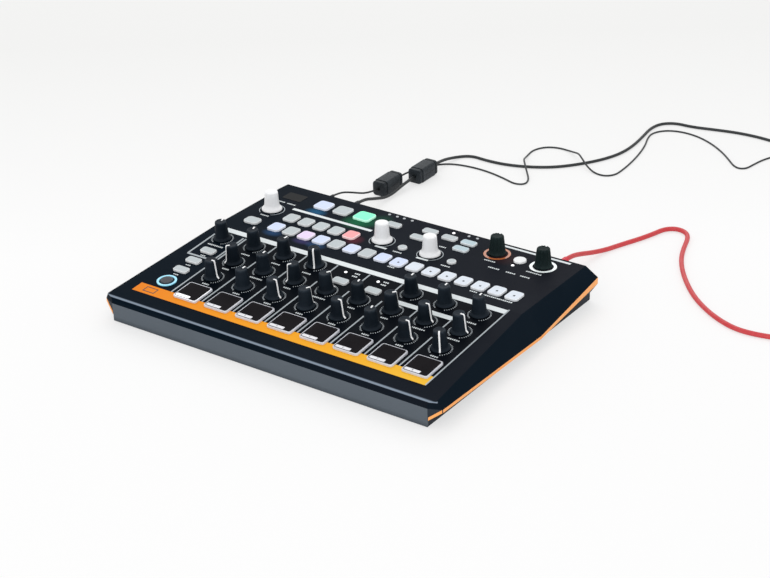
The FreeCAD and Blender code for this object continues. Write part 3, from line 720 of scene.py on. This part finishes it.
def makeFloor(settings):
    f = Finish("floorSweep")
    cloud = f.noise(3.0, 2)
    fine = f.noise(400, 3)
    away = f.spread(f.axis("Y") - f.axis("X") * 0.7, 0.12, 0.75)
    tone = f.blend(away, shade(settings["near"]), shade(settings["far"]))
    tone = f.blend(cloud * 0.06, tone, shade(settings["far"]))
    sockets = {"Base Color": tone, "Roughness": 0.85 + fine * 0.1, "Specular IOR Level": 0.1}
    matte = f.node("ShaderNodeBsdfPrincipled", {}, sockets)
    bright = f.node("ShaderNodeEmission", {}, {"Color": tone})
    share = f.inPicture() * settings["ownLight"]
    surface = f.node("ShaderNodeMixShader", {}, {0: share, 1: matte, 2: bright})
    f.node("ShaderNodeOutputMaterial", {}, {"Surface": surface})
    s = settings["size"]
    mesh = bpy.data.meshes.new("floor")
    mesh.from_pydata([(-s, -s, 0), (s, -s, 0), (s, s, 0), (-s, s, 0)], [], [(0, 1, 2, 3)])
    mesh.materials.append(f.material)
    floor = addObject("floor", mesh)


lightSet = {
    "world": 0.8,
    "lamps": [
        {"name": "key", "place": (-0.9, 1.3, 1.7), "size": 1.9, "power": 13.0},
        {"name": "fill", "place": (0.9, -1.7, 1.0), "size": 1.6, "power": 10.0},
    ],
}


def makeLight(settings):
    world = bpy.data.worlds.new("studio")
    bpy.context.scene.world = world
    world.use_nodes = True
    w = Sheet(world.node_tree)
    w.tree.nodes.clear()
    strength = settings["world"] + w.inPicture() * (1.0 - settings["world"])
    back = w.node("ShaderNodeBackground", {}, {"Color": shade("#f7f7f7"), "Strength": strength})
    w.node("ShaderNodeOutputWorld", {}, {"Surface": back})
    for lamp in settings["lamps"]:
        data = bpy.data.lights.new(lamp["name"], "AREA")
        data.energy = lamp["power"]
        data.size = lamp["size"]
        light = addObject(lamp["name"], data)
        light.location = lamp["place"]
        light.rotation_mode = "QUATERNION"
        light.rotation_quaternion = (-Vector(lamp["place"])).to_track_quat("-Z", "Y")


makeFloor(floorSet)
makeLight(lightSet)
print("floor and light made")

# Carried-over nodes get their finishes
carried = {
    "top_shell": "deck", "bottom_shell": "slate", "accent_trims": "trim",
    "display_window": "window", "control_bodies": "component", "control_boards": "board", "feet": "foot",
    "rear_sockets": "socket",
}
for node, finish in carried.items():
    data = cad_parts[node].data
    data.materials.clear()
    data.materials.append(finishes[finish])

# The coloured strip's short run across each cut front corner, from the side tip down to the front
legSet = {
    "start": (148.4, -112.73, 6.3, 8.9), "end": (157.6, -108.62, 13.3, 15.9),
    "outward": (0.408, -0.913), "proud": 0.22, "sunk": -0.6,
}


def trimLeg(name, side):
    ax, ay = legSet["outward"]
    rings = []
    for x, y, low, high in (legSet["start"], legSet["end"]):
        ring = []
        proud, sunk = legSet["proud"], legSet["sunk"]
        for reach, z in ((sunk, low), (proud, low), (proud, high), (sunk, high)):
            ring.append((side * (x + ax * reach), y + ay * reach, z))
        rings.append(ring if side > 0 else list(reversed(ring)))
    verts, faces, _ = stack(rings)
    piece = makePiece(name, verts, faces, Matrix.Identity(4), finishes["trim"])
    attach(piece, "root")


trimLeg("trim_leg_right", 1)
trimLeg("trim_leg_left", -1)

# Knobs: radius, height and edge wear, from the skirt to near the middle of the top
knobSet = {
    "small": [
        (7.15, 0.6, 0.0), (7.38, 0.8, 0.3), (7.4, 1.3, 0.8), (7.2, 1.8, 0.5), (6.8, 2.25, 0.2),
        (6.3, 2.55, 0.0), (5.95, 2.8, 0.0), (5.8, 3.2, 0.0), (5.5, 6.0, 0.0), (5.1, 10.5, 0.0),
        (4.75, 14.6, 0.1), (4.66, 15.6, 0.5), (4.5, 16.05, 1.0), (4.2, 16.3, 1.0), (3.8, 16.4, 0.7),
        (3.5, 16.38, 0.5), (3.2, 16.22, 0.4), (1.5, 16.15, 0.35)],
    "encoder": [
        (8.4, 0.6, 0.0), (8.66, 0.8, 0.2), (8.7, 1.3, 0.3), (8.55, 1.9, 0.2), (8.1, 2.5, 0.0),
        (7.4, 3.1, 0.0), (6.75, 3.9, 0.0), (6.35, 5.2, 0.0), (6.1, 7.5, 0.0), (5.85, 11.0, 0.0),
        (5.62, 15.0, 0.0), (5.5, 16.0, 0.3), (5.25, 16.55, 0.6), (4.8, 16.8, 0.5), (4.3, 16.78, 0.2),
        (3.9, 16.6, 0.0), (1.5, 16.55, 0.0)],
    "output": [
        (6.9, 0.6, 0.0), (7.18, 0.85, 0.4), (7.2, 1.6, 0.9), (7.0, 2.2, 0.4), (6.75, 2.7, 0.1),
        (6.65, 3.3, 0.2), (6.45, 5.2, 0.15), (6.0, 9.5, 0.15), (5.5, 13.8, 0.2), (5.35, 15.0, 0.6),
        (5.15, 15.75, 1.0), (4.8, 16.1, 0.9), (4.2, 16.2, 0.5), (3.8, 15.9, 0.2), (1.8, 15.8, 0.1)],
    "segments": 64, "outputSegments": 96, "flutes": 12, "groove": 0.55, "fluteFrom": 5, "fluteTo": 12,
    "pointerHalf": 0.6, "pointerProud": 0.22, "pointerSunk": 0.4,
    "pointerSpan": {"small": (2, 18), "output": (3, 14)},
}
columnPitch, firstColumn = 30.65, -95.2
rowRuns = {"c": 57.5, "b": 83.8, "a": 110.8}
pointerAngles = {
    "a": [-15, 20, 150, None, None, 0, 0, 0],
    "b": [-150, 0, -150, 40, -10, 50, 95, 95],
    "c": [100, 10, 100, 40, 100, -10, 100, 150],
}
knobSpots = [("knob_tempo", -127.2, 109.4, -5, "small")]
for row, angles in pointerAngles.items():
    for column, angle in enumerate(angles):
        if angle is not None:
            across = firstColumn + column * columnPitch
            knobSpots.append((f"knob_{row}{column + 1}", across, rowRuns[row], angle, "small"))
knobSpots += [
    ("encoder_left", -126.0, 173.7, 0, "encoder"), ("encoder_middle", -13.4, 173.8, 0, "encoder"),
    ("encoder_right", 33.0, 173.8, 0, "encoder"), ("output_knob_left", 77.2, 203.8, 0, "output"),
    ("output_knob_right", 119.6, 203.6, 0, "output"),
]


def makePointer(name, profile, place, first, last):
    # A raised line that follows the knob's own profile from its skirt to its top
    half, proud, sunk = (knobSet[k] for k in ("pointerHalf", "pointerProud", "pointerSunk"))
    path = [Vector((r, z)) for r, z, _ in profile][first:last]
    rings = []
    for k, spot in enumerate(path):
        before, after = path[max(k - 1, 0)], path[min(k + 1, len(path) - 1)]
        along = (after - before).normalized()
        out = Vector((along.y, -along.x))
        low, high = spot - out * sunk, spot + out * proud
        rings.append([(-half, *high), (half, *high), (half, *low), (-half, *low)])
    verts, faces, _ = stack(rings)
    return makePiece(name, verts, faces, place, finishes["pointer"], None, 60)


def makeKnob(name, across, run, angle, kind):
    place = onDeck(across, run, 0.0, -angle)
    profile = knobSet[kind]
    if kind == "output":
        body = lathe(name + "_cap", profile, place, finishes["outputKnob"], knobSet["outputSegments"],
                     flutes=knobSet["flutes"], groove=knobSet["groove"],
                     fluted=(knobSet["fluteFrom"], knobSet["fluteTo"]))
    else:
        finish = finishes["knob" if kind == "small" else "encoder"]
        body = lathe(name + "_cap", profile, place, finish, knobSet["segments"])
    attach(body, name)
    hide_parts(name)
    if kind != "encoder":
        pointer = makePointer(name + "_pointer", profile, place, *knobSet["pointerSpan"][kind])
        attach(pointer, name)


for knob in knobSpots:
    makeKnob(*knob)
print("knobs made:", len(knobSpots))

# Pads: a dark rubber top on a milky base, inside a thin milky frame
padSet = {
    "run": 30.65, "offset": 2.0, "size": 21.2, "corner": 1.8, "top": 2.2, "capThick": 0.6, "sunk": 3.6,
    "frameOuter": 22.9, "frameInner": 21.6, "frameTop": 1.6, "frameCorner": 2.3, "holeCorner": 1.9,
    "labelWidth": 13.4, "labelDepth": 2.9, "labelAcross": -2.6, "labelRun": -8.7,
    "numberSize": 2.4, "numberLift": 0.12,
}


def squares(levels, steps=5):
    # Rounded squares from (width, corner, height)
    return [roundedRing(width, width, corner, height, steps) for width, corner, height in levels]


def padAcross(number):
    return firstColumn + padSet["offset"] + (number - 1) * columnPitch


def makePad(number):
    place = onDeck(padAcross(number), padSet["run"])
    size, corner, top = padSet["size"], padSet["corner"], padSet["top"]
    seam = top - padSet["capThick"]
    levels = [(size, corner, -padSet["sunk"]), (size, corner, seam - 0.3)]
    levels += [(size - 0.25, corner - 0.1, seam - 0.08), (size - 0.6, corner - 0.2, seam)]
    verts, faces, wear = stack(squares(levels), [0, 0.2, 0.6, 0.3])
    lit = "padBaseLit" if number == 1 else "padBase"
    base = makePiece(f"pad_{number}_base", verts, faces, place, finishes[lit], wear)
    wide = size - 0.7
    corner -= 0.2
    levels = [(wide, corner, seam - 0.1), (wide, corner, top - 0.35), (wide - 0.25, corner - 0.1, top - 0.17)]
    levels += [(wide - 0.8, corner - 0.2, top - 0.06), (wide * 0.7, 1.2, top - 0.02), (wide * 0.35, 0.8, top)]
    verts, faces, wear = stack(squares(levels), [0, 0.5, 1.0, 0.5, 0, 0])
    cap = makePiece(f"pad_{number}_top", verts, faces, place, finishes["padRubber"], wear)
    # The pale label at the pad's front edge, a little to the left
    w, d = padSet["labelWidth"], padSet["labelDepth"]
    rings = [roundedRing(w, d, 0.7, top - 0.3, 3), roundedRing(w, d, 0.7, top + 0.06, 3)]
    rings.append(roundedRing(w - 0.2, d - 0.2, 0.6, top + 0.1, 3))
    verts, faces, _ = stack(rings)
    spot = place @ Matrix.Translation(Vector((padSet["labelAcross"], padSet["labelRun"], 0)) * mm)
    label = makePiece(f"pad_{number}_label", verts, faces, spot, finishes[lit])
    for piece in (base, cap, label):
        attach(piece, f"pad_{number}")
    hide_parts(f"pad_{number}")


def padFrame(number):
    # An open square ring round the pad, from just in the deck to its rim
    outer, inner, top = padSet["frameOuter"], padSet["frameInner"], padSet["frameTop"]
    corner, hole, low = padSet["frameCorner"], padSet["holeCorner"], -0.1
    levels = [(outer, corner, low), (outer, corner, top - 0.25), (outer - 0.3, corner - 0.1, top)]
    levels += [(inner + 0.2, hole + 0.05, top), (inner, hole, top - 0.2), (inner, hole, low)]
    loops = squares(levels)
    verts = [corner for loop in loops for corner in loop]
    count = len(loops[0])
    faces = []
    for level in range(len(loops)):
        low, high = level * count, (level + 1) % len(loops) * count
        for k in range(count):
            after = (k + 1) % count
            faces.append((low + k, low + after, high + after, high + k))
    place = onDeck(padAcross(number), padSet["run"])
    piece = makePiece(f"pad_frame_{number}", verts, faces, place, finishes["padFrame"])
    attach(piece, "root")
    if number == 1:
        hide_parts("pad_frames")


for number in range(1, 9):
    makePad(number)
    padFrame(number)
print("pads made")

# Keys: caps of each group, with the colour and light of each key
capForm = {"height": 1.6, "fillet": 0.6, "sunk": 3.0}
capSets = {
    "step": {"width": 11.6, "depth": 13.6, "corner": 2.6},
    "mode": {"width": 11.4, "depth": 13.2, "corner": 2.6},
    "oblong": {"width": 13.4, "depth": 7.6, "corner": 2.2},
    "corner": {"width": 13.6, "depth": 10.8, "corner": 3.2},
    "transport": {"width": 14.6, "depth": 14.2, "corner": 3.0},
    "play": {"width": 16.2, "depth": 15.0, "corner": 3.2},
}
keySet = {
    "stepFirst": -100.83, "stepPitch": 15.22, "stepRun": 147.3, "modeRun": 167.9,
    "oblong": [(-124.2, 87.6), (-125.0, 70.0), (-124.5, 54.1), (-1.5, 100.0), (29.4, 100.0), (-22.0, 203.0),
               (10.4, 208.6), (8.1, 193.9), (30.3, 206.7), (48.6, 206.8), (48.9, 194.3)],
    "transport": [(-92.9, 202.4), (-73.3, 202.6)], "play": (-51.6, 202.8), "corner": (-125.6, 147.0),
    "round": [(8.2, 171.4, 3.8), (55.2, 171.2, 3.8), (99.3, 202.3, 5.2), (-124.0, 35.5, 5.2)],
}
keyFinishes = {
    # Only the keys named lit are lit; the faint glow of the white, bright and sky keys is painted light
    "white": keyFinish("keyWhite", "#e0e8f3", 0.06),
    "bright": keyFinish("keyBright", "#f3f5f6", 0.08),
    "stone": keyFinish("keyStone", "#c2cbce", 0.0),
    "grey": keyFinish("keyGreyWhite", "#c3cccf", 0.0),
    "blue": keyFinish("keyBlueLit", "#d0dcfa", 0.12),
    "pink": keyFinish("keyPinkLit", "#ead5f6", 0.12),
    "sky": keyFinish("keySkyWhite", "#b9cfd8", 0.03),
    "red": keyFinish("keyRedLit", "#f3999c", 0.2),
    "green": keyFinish("keyGreenLit", "#74f5c0", 0.3),
}
stepTones = ["blue", "grey", "pink", "blue", "grey", "blue", "grey", "blue", "blue", "white"] + ["white"] * 6
groups = []


def addKeys(name, kind, body, spots, tones):
    for k, (spot, tone) in enumerate(zip(spots, tones)):
        label = f"{name}_{k + 1}" if len(spots) > 1 else name
        groups.append((label, *spot, kind, tone, body))


stepSpots = [(keySet["stepFirst"] + k * keySet["stepPitch"], keySet["stepRun"]) for k in range(16)]
modeSpots = [(across, keySet["modeRun"]) for across, _ in stepSpots[:5]]
addKeys("step_key", "step", "step_buttons", stepSpots, stepTones)
addKeys("mode_key", "mode", "mode_buttons", modeSpots, ["grey"] * 4 + ["red"])
addKeys("function_key", "oblong", "function_buttons", keySet["oblong"], ["stone"] * 9 + ["sky"] * 2)
addKeys("corner_key", "corner", "function_buttons", [keySet["corner"]], ["stone"])
addKeys("transport_key", "transport", "transport_buttons", keySet["transport"], ["blue", "grey"])
addKeys("play_key", "play", "transport_buttons", [keySet["play"]], ["green"])
stoodFor = set()
for name, across, run, kind, tone, body in groups:
    key = keyCap(name, capForm | capSets[kind], onDeck(across, run), keyFinishes[tone])
    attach(key, body)
    if body not in stoodFor:
        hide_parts(body)
        stoodFor.add(body)
for k, (across, run, radius) in enumerate(keySet["round"]):
    top = capForm["height"]
    profile = [(radius, -capForm["sunk"], 0), (radius, 0.9, 0.1), (radius - 0.1, 1.25, 0.7)]
    profile += [(radius - 0.35, 1.5, 0.9), (radius - 0.8, top, 0.5)]
    profile += [(radius * share, top, 0) for share in (0.6, 0.3)]
    material = finishes["printDark"] if k == 3 else keyFinishes["bright" if k == 2 else "stone"]
    key = lathe(f"round_key_{k + 1}", profile, onDeck(across, run), material, 48)
    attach(key, "round_buttons")
    if k == 0:
        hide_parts("round_buttons")
print("keys made:", len(groups) + len(keySet["round"]))

# Indicator lights, lit and unlit, and the lit ring round one key
lensSet = {
    "lit": [(27.5, 217.1), (98.5, 192.5), (-6.2, 113.7), (24.7, 113.8)],
    "off": [(-37.1, 218.6), (-29.2, 218.6), (-22.3, 218.6), (-14.3, 218.6), (41.3, 218.6), (49.3, 218.6)],
}
lensProfile = [(1.3, -2.5, 0), (1.3, 0.15, 0), (1.15, 0.38, 0), (0.8, 0.48, 0), (0.4, 0.5, 0)]
count = 0
for state, spots in lensSet.items():
    for across, run in spots:
        count += 1
        finish = finishes["lensLit" if state == "lit" else "lensOff"]
        lens = lathe(f"lens_{count}", lensProfile, onDeck(across, run), finish, 24)
        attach(lens, "root")
        if count == 1:
            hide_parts("indicator_lights")
litRingSet = {"inner": 6.3, "outer": 8.1, "low": 0.0, "high": 0.7}
flatRing("lit_ring", *keySet["round"][3][:2], *litRingSet.values(), finishes["ringBlue"])

# Print on the deck, 0.06 to 0.12 mm proud
# Bars: across, run, width and depth. Marks: across, run and number of strokes.
printSet = {
    "columnFirst": -110.16, "columnPitch": 30.78, "line": 1.3, "band": (-2.25, 18.45, 276.5, 11.9, 0.06),
    "lowLine": (46, 43), "leftLine": (87, 11), "rightLine": (85, 13), "highLine": (113.5, 12),
    "labelHeight": 1.7, "stroke": 1.2, "strokePitch": 1.75, "labelRuns": (46.6, 72.2, 97.6),
    "sideLabel": (-125.3, 9), "keyLabel": (-7.2, 3, 1.2), "arc": (-60, 300),
    "white": [(0.55, 123.1, 270.1, 5.6), (79.2, 96.0, 52.5, 5.1), (-71.7, 184.5, 80.6, 3.4),
              (103.9, 219.0, 63.3, 2.6), (-7.5, 163.4, 11, 2.4), (32.3, 163.7, 11, 2.4)],
    "grey": [(135.7, 69.9, 1.2, 114), (-138, 95.5, 1.6, 35), (-127.8, 78, 20.4, 2.0),
             (-112.1, 99.5, 1.5, 37), (-109.4, 99.5, 1.5, 37), (105, 85.5, 1.2, 18),
             (75, 85.5, 1.2, 18)],
    "marks": [(3.7, 115.5, 3), (3.7, 111.5, 3), (31, 115.5, 3), (31, 111.5, 3), (96.8, 137.8, 4),
              (118.4, 137.8, 15), (19.6, 138.4, 4), (8.5, 163.2, 5), (54.5, 163.0, 5), (-130, 191.0, 5),
              (-119, 191.0, 5), (-124.5, 161.5, 5), (79, 189.6, 6), (119.4, 189.6, 8), (88.5, 180.2, 6),
              (104, 180.2, 5), (117, 180.2, 5), (34, 190.5, 4)],
    "keyMark": (1.6, 1.8, 1.65), "keyMarkShift": (0.6, -1.2),
}
printed("deck_band", [bar(*printSet["band"])], finishes["band"])
greyBars = [bar(*spot) for spot in printSet["grey"]]
for k in range(8):
    across = printSet["columnFirst"] + k * printSet["columnPitch"]
    spans = [printSet["lowLine"]]
    if k in (1, 2, 3, 4, 5):
        spans += [printSet["rightLine" if k > 2 else "leftLine"], printSet["highLine"]]
    greyBars += [bar(across, run, printSet["line"], depth) for run, depth in spans]
printed("deck_white_bars", [bar(*spot) for spot in printSet["white"]], finishes["print"])
printed("deck_lines", greyBars, finishes["printGrey"])


def labelMark(across, run, strokes, height=printSet["labelHeight"]):
    # A row of short strokes where the real deck has its small print
    bars = []
    for k in range(strokes):
        spot = across + (k - (strokes - 1) / 2) * printSet["strokePitch"]
        bars.append(bar(spot, run, printSet["stroke"], height if k % 3 else height * 0.8))
    return bars


marks = []
lowRun, middleRun, highRun = printSet["labelRuns"]
for k in range(8):
    across = firstColumn + k * columnPitch
    marks += labelMark(across + 1.5, lowRun, 4)
    marks += labelMark(across + 1.0, middleRun, 7 if k in (1, 3, 6, 7) else 4)
    if k not in (3, 4, 5, 6):
        marks += labelMark(across + 1.0, highRun, 5)
marks += labelMark(printSet["sideLabel"][0], highRun, printSet["sideLabel"][1])
for across, run in keySet["oblong"][:3]:
    below, strokes, height = printSet["keyLabel"]
    marks += labelMark(across, run + below, strokes, height)
for spot in printSet["marks"]:
    marks += labelMark(*spot)
printed("deck_small_marks", marks, finishes["print"])
outlineSet = {"across": -126.5, "run": 18.6, "halfWidth": 5.3, "halfDepth": 2.9, "line": 0.8, "lift": 0.12}
across, run, w, d, line, lift = outlineSet.values()
frameBars = [bar(across, run + side * d, 2 * w + line, line, lift) for side in (-1, 1)]
frameBars += [bar(across + side * w, run, line, 2 * d - line, lift) for side in (-1, 1)]
printed("deck_band_outline", frameBars, finishes["printDark"])
knobPlaces = {knob[0]: knob[1:3] for knob in knobSpots}
ringSets = [
    ("ring_output_left", "output_knob_left", 8.8, 11.0, "ringOrange"),
    ("ring_output_right", "output_knob_right", 8.4, 10.8, "ringWhite"),
    ("ring_encoder_left", "encoder_left", 10.3, 10.9, "printGrey"),
    ("ring_encoder_middle", "encoder_middle", 10.3, 10.9, "printGrey"),
    ("ring_encoder_right", "encoder_right", 10.3, 10.9, "printGrey"),
]
for name, knob, inner, outer, finish in ringSets:
    start, sweep = printSet["arc"] if "encoder" in name else (0, 360)
    flatRing(name, *knobPlaces[knob], inner, outer, *inkSet.values(), finishes[finish], "root", start, sweep)
stepMarks = []
for k in (8, 10, 11, 12, 13, 14, 15):
    (across, run), (right, back) = stepSpots[k], printSet["keyMarkShift"]
    stepMarks.append(bar(across + right, run + back, *printSet["keyMark"]))
printed("step_key_marks", stepMarks, finishes["printDark"], "step_buttons")


def numberMark(text, size, place, material, body, name):
    # A plain number as a thin mesh
    curve = bpy.data.curves.new(name, "FONT")
    curve.body = text
    curve.size = size * mm
    curve.align_x = "CENTER"
    curve.align_y = "CENTER"
    curve.extrude = 0.03 * mm
    flatText = addObject(name + "_text", curve)
    mesh = bpy.data.meshes.new_from_object(flatText.evaluated_get(bpy.context.evaluated_depsgraph_get()))
    bpy.data.objects.remove(flatText)
    mesh.transform(place)
    mesh.materials.clear()
    mesh.materials.append(material)
    piece = addObject(name, mesh)
    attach(piece, body)


for number in range(1, 9):
    across = padAcross(number) + padSet["labelAcross"]
    spot = onDeck(across, padSet["run"] + padSet["labelRun"], padSet["top"] + padSet["numberLift"])
    name, ink = f"pad_number_{number}", finishes["printDark"]
    numberMark(str(number), padSet["numberSize"], spot, ink, f"pad_{number}", name)
print("deck print made")


# Repeats made with Geometry Nodes
class Recipe(Sheet):
    def __init__(self, name, inputs):
        tree = bpy.data.node_groups.new(name, "GeometryNodeTree")
        super().__init__(tree)
        tree.interface.new_socket("Geometry", in_out="OUTPUT", socket_type="NodeSocketGeometry")
        tree.interface.new_socket("Geometry", in_out="INPUT", socket_type="NodeSocketGeometry")
        for label, kind in inputs.items():
            tree.interface.new_socket(label, in_out="INPUT", socket_type=kind)
        self.source = tree.nodes.new("NodeGroupInput")

    def given(self, label):
        return Wire(self, self.source.outputs[label])

    def ringOf(self, instance, count, radius, angle):
        # Copies of one shape on a circle, each turned by its own angle
        line = self.node("GeometryNodeMeshLine", {}, {"Count": count, "Offset": (0, 0, 0)})
        across = radius * self.math("COSINE", angle)
        spot = self.node("ShaderNodeCombineXYZ", {}, {0: across, 1: radius * self.math("SINE", angle)})
        placed = self.node("GeometryNodeSetPosition", {}, {"Geometry": line, "Position": spot})
        turn = self.node("ShaderNodeCombineXYZ", {}, {2: angle})
        sockets = {"Points": placed, "Instance": instance, "Rotation": turn}
        return self.node("GeometryNodeInstanceOnPoints", {}, sockets)

    def atSpots(self, instance):
        lean = self.node("GeometryNodeInputNamedAttribute", {"data_type": "FLOAT_VECTOR"}, {"Name": "lean"})
        sockets = {"Points": self.given("Geometry"), "Instance": instance, "Rotation": lean}
        return self.node("GeometryNodeInstanceOnPoints", {}, sockets)

    def close(self, wire, material):
        whole = self.node("GeometryNodeRealizeInstances", {}, {0: wire})
        painted = self.node("GeometryNodeSetMaterial", {}, {"Geometry": whole, "Material": material})
        self.node("NodeGroupOutput", {}, {0: painted})
        return self.tree


def runRecipe(name, tree, spots, leans, values, body):
    # Points with their tilt go in, a plain mesh comes out
    mesh = bpy.data.meshes.new(name)
    mesh.from_pydata(spots, [], [])
    lean = mesh.attributes.new("lean", "FLOAT_VECTOR", "POINT")
    lean.data.foreach_set("vector", [c for turn in leans for c in turn])
    piece = addObject(name, mesh)
    modifier = piece.modifiers.new("repeat", "NODES")
    modifier.node_group = tree
    for item in tree.interface.items_tree:
        if item.in_out == "INPUT" and item.name in values:
            modifier[item.identifier] = values[item.name]
    graph = bpy.context.evaluated_depsgraph_get()
    made = bpy.data.meshes.new_from_object(piece.evaluated_get(graph))
    piece.modifiers.clear()
    piece.data = made
    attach(piece, body)


floatKind, countKind, finishKind = "NodeSocketFloat", "NodeSocketInt", "NodeSocketMaterial"
tickInputs = {
    "Radius": floatKind, "Ticks": countKind, "Start": floatKind, "Sweep": floatKind,
    "Length": floatKind, "Width": floatKind, "Thickness": floatKind, "Finish": finishKind,
}
collarInputs = {
    "Inner": floatKind, "Outer": floatKind, "Height": floatKind,
    "Grips": countKind, "Grip": floatKind, "Finish": finishKind,
}


def tickRecipe():
    # Short dashes on an arc round each point
    r = Recipe("tickRing", tickInputs)
    sides = {k: r.given(name) for k, name in enumerate(("Length", "Width", "Thickness"))}
    dash = r.node("GeometryNodeMeshCube", {}, {"Size": r.node("ShaderNodeCombineXYZ", {}, sides)})
    index = r.node("GeometryNodeInputIndex")
    angle = r.given("Start") + r.given("Sweep") * index / (r.given("Ticks") - 1)
    ring = r.ringOf(dash, r.given("Ticks"), r.given("Radius"), angle)
    return r.close(r.atSpots(ring), r.given("Finish"))


tickSet = {
    "radius": 8.7, "ticks": 27, "start": -60, "sweep": 300, "lift": 0.02,
    "length": 1.2, "width": 0.6, "thickness": 0.1,
}
places = [onDeck(knob[1], knob[2], tickSet["lift"]) for knob in knobSpots if knob[4] == "small"]
tickSpots, tickLeans = [p.translation for p in places], [tuple(p.to_euler()) for p in places]
runRecipe("knob_ticks", tickRecipe(), tickSpots, tickLeans, {
    "Radius": tickSet["radius"] * mm, "Ticks": tickSet["ticks"], "Start": math.radians(tickSet["start"]),
    "Sweep": math.radians(tickSet["sweep"]), "Length": tickSet["length"] * mm, "Width": tickSet["width"] * mm,
    "Thickness": tickSet["thickness"] * mm, "Finish": finishes["tick"]}, "root")


def collarRecipe():
    # A plated collar round each large socket: a ring of small grips on a thin washer
    r = Recipe("socketCollar", collarInputs)
    inner, outer = r.given("Inner"), r.given("Outer")
    path = r.node("GeometryNodeCurvePrimitiveCircle", {}, {"Resolution": 48, "Radius": (inner + outer) / 2})
    sockets = {"Width": outer - inner, "Height": r.given("Height")}
    section = r.node("GeometryNodeCurvePrimitiveQuadrilateral", {}, sockets)
    washer = r.node("GeometryNodeCurveToMesh", {}, {"Curve": path, "Profile Curve": section})
    sides = {0: r.given("Grip"), 1: r.given("Grip"), 2: r.given("Height") * 0.8}
    grip = r.node("GeometryNodeMeshCube", {}, {"Size": r.node("ShaderNodeCombineXYZ", {}, sides)})
    angle = r.node("GeometryNodeInputIndex") * math.tau / r.given("Grips")
    grips = r.ringOf(grip, r.given("Grips"), outer, angle)
    both = r.node("GeometryNodeJoinGeometry")
    r.tree.links.new(washer.socket, both.socket.node.inputs[0])
    r.tree.links.new(grips.socket, both.socket.node.inputs[0])
    return r.close(r.atSpots(both), r.given("Finish"))


collarSet = {
    "rear": 113.45, "height": 13.0, "large": [38.0, 56.0, 74.0, 92.0],
    "inner": 4.6, "outer": 7.0, "thick": 1.1, "grips": 24, "grip": 0.6,
}
collarSpots = [Vector((x, collarSet["rear"], collarSet["height"])) * mm for x in collarSet["large"]]
runRecipe("socket_collars", collarRecipe(), collarSpots, [(math.pi / 2, 0, 0)] * len(collarSpots), {
    "Inner": collarSet["inner"] * mm, "Outer": collarSet["outer"] * mm, "Height": collarSet["thick"] * mm,
    "Grips": collarSet["grips"], "Grip": collarSet["grip"] * mm, "Finish": finishes["metal"]}, "root")

# Case screws under the base, one below each boss: a pan head with a cross recess
screwSet = {
    "across": 140.0, "runs": (16.0, 150.0, 214.0), "turn": 15,
    "head": [(0.5, 0.32, 0), (1.6, 0.34, 0), (2.1, 0.46, 0.5), (2.3, 0.62, 0.8), (2.3, 0.9, 0)],
    "slotLength": 2.4, "slotWidth": 0.5, "slotHeight": 0.36,
}
screwRuns = [deckSet["lipY"] + run for run in screwSet["runs"]]
screwSpots = [(side * screwSet["across"], y) for y in screwRuns for side in (-1, 1)]
for k, (x, y) in enumerate(screwSpots):
    spot = Matrix.Translation(Vector((x, y, 0)) * mm)
    head = lathe(f"case_screw_{k + 1}", screwSet["head"], spot, finishes["metal"], 32)
    slots = []
    for turn in (0, 90):
        turned = Matrix.Rotation(math.radians(turn + screwSet["turn"] * k), 4, "Z")
        cross = Matrix.Translation(Vector((x, y, screwSet["slotHeight"])) * mm) @ turned
        # The second slot reaches a little lower, so that the two lower faces share no plane
        length, width, bottom = screwSet["slotLength"], screwSet["slotWidth"], -0.08 - 0.005 * turn / 90
        verts, faces, _ = stack([roundedRing(length, width, 0.2, z, 2) for z in (bottom, 0.1)])
        slots.append(makePiece(f"case_screw_{k + 1}_slot_{turn}", verts, faces, cross, finishes["socket"]))
    for piece in [head] + slots:
        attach(piece, "root")
print("repeats made")
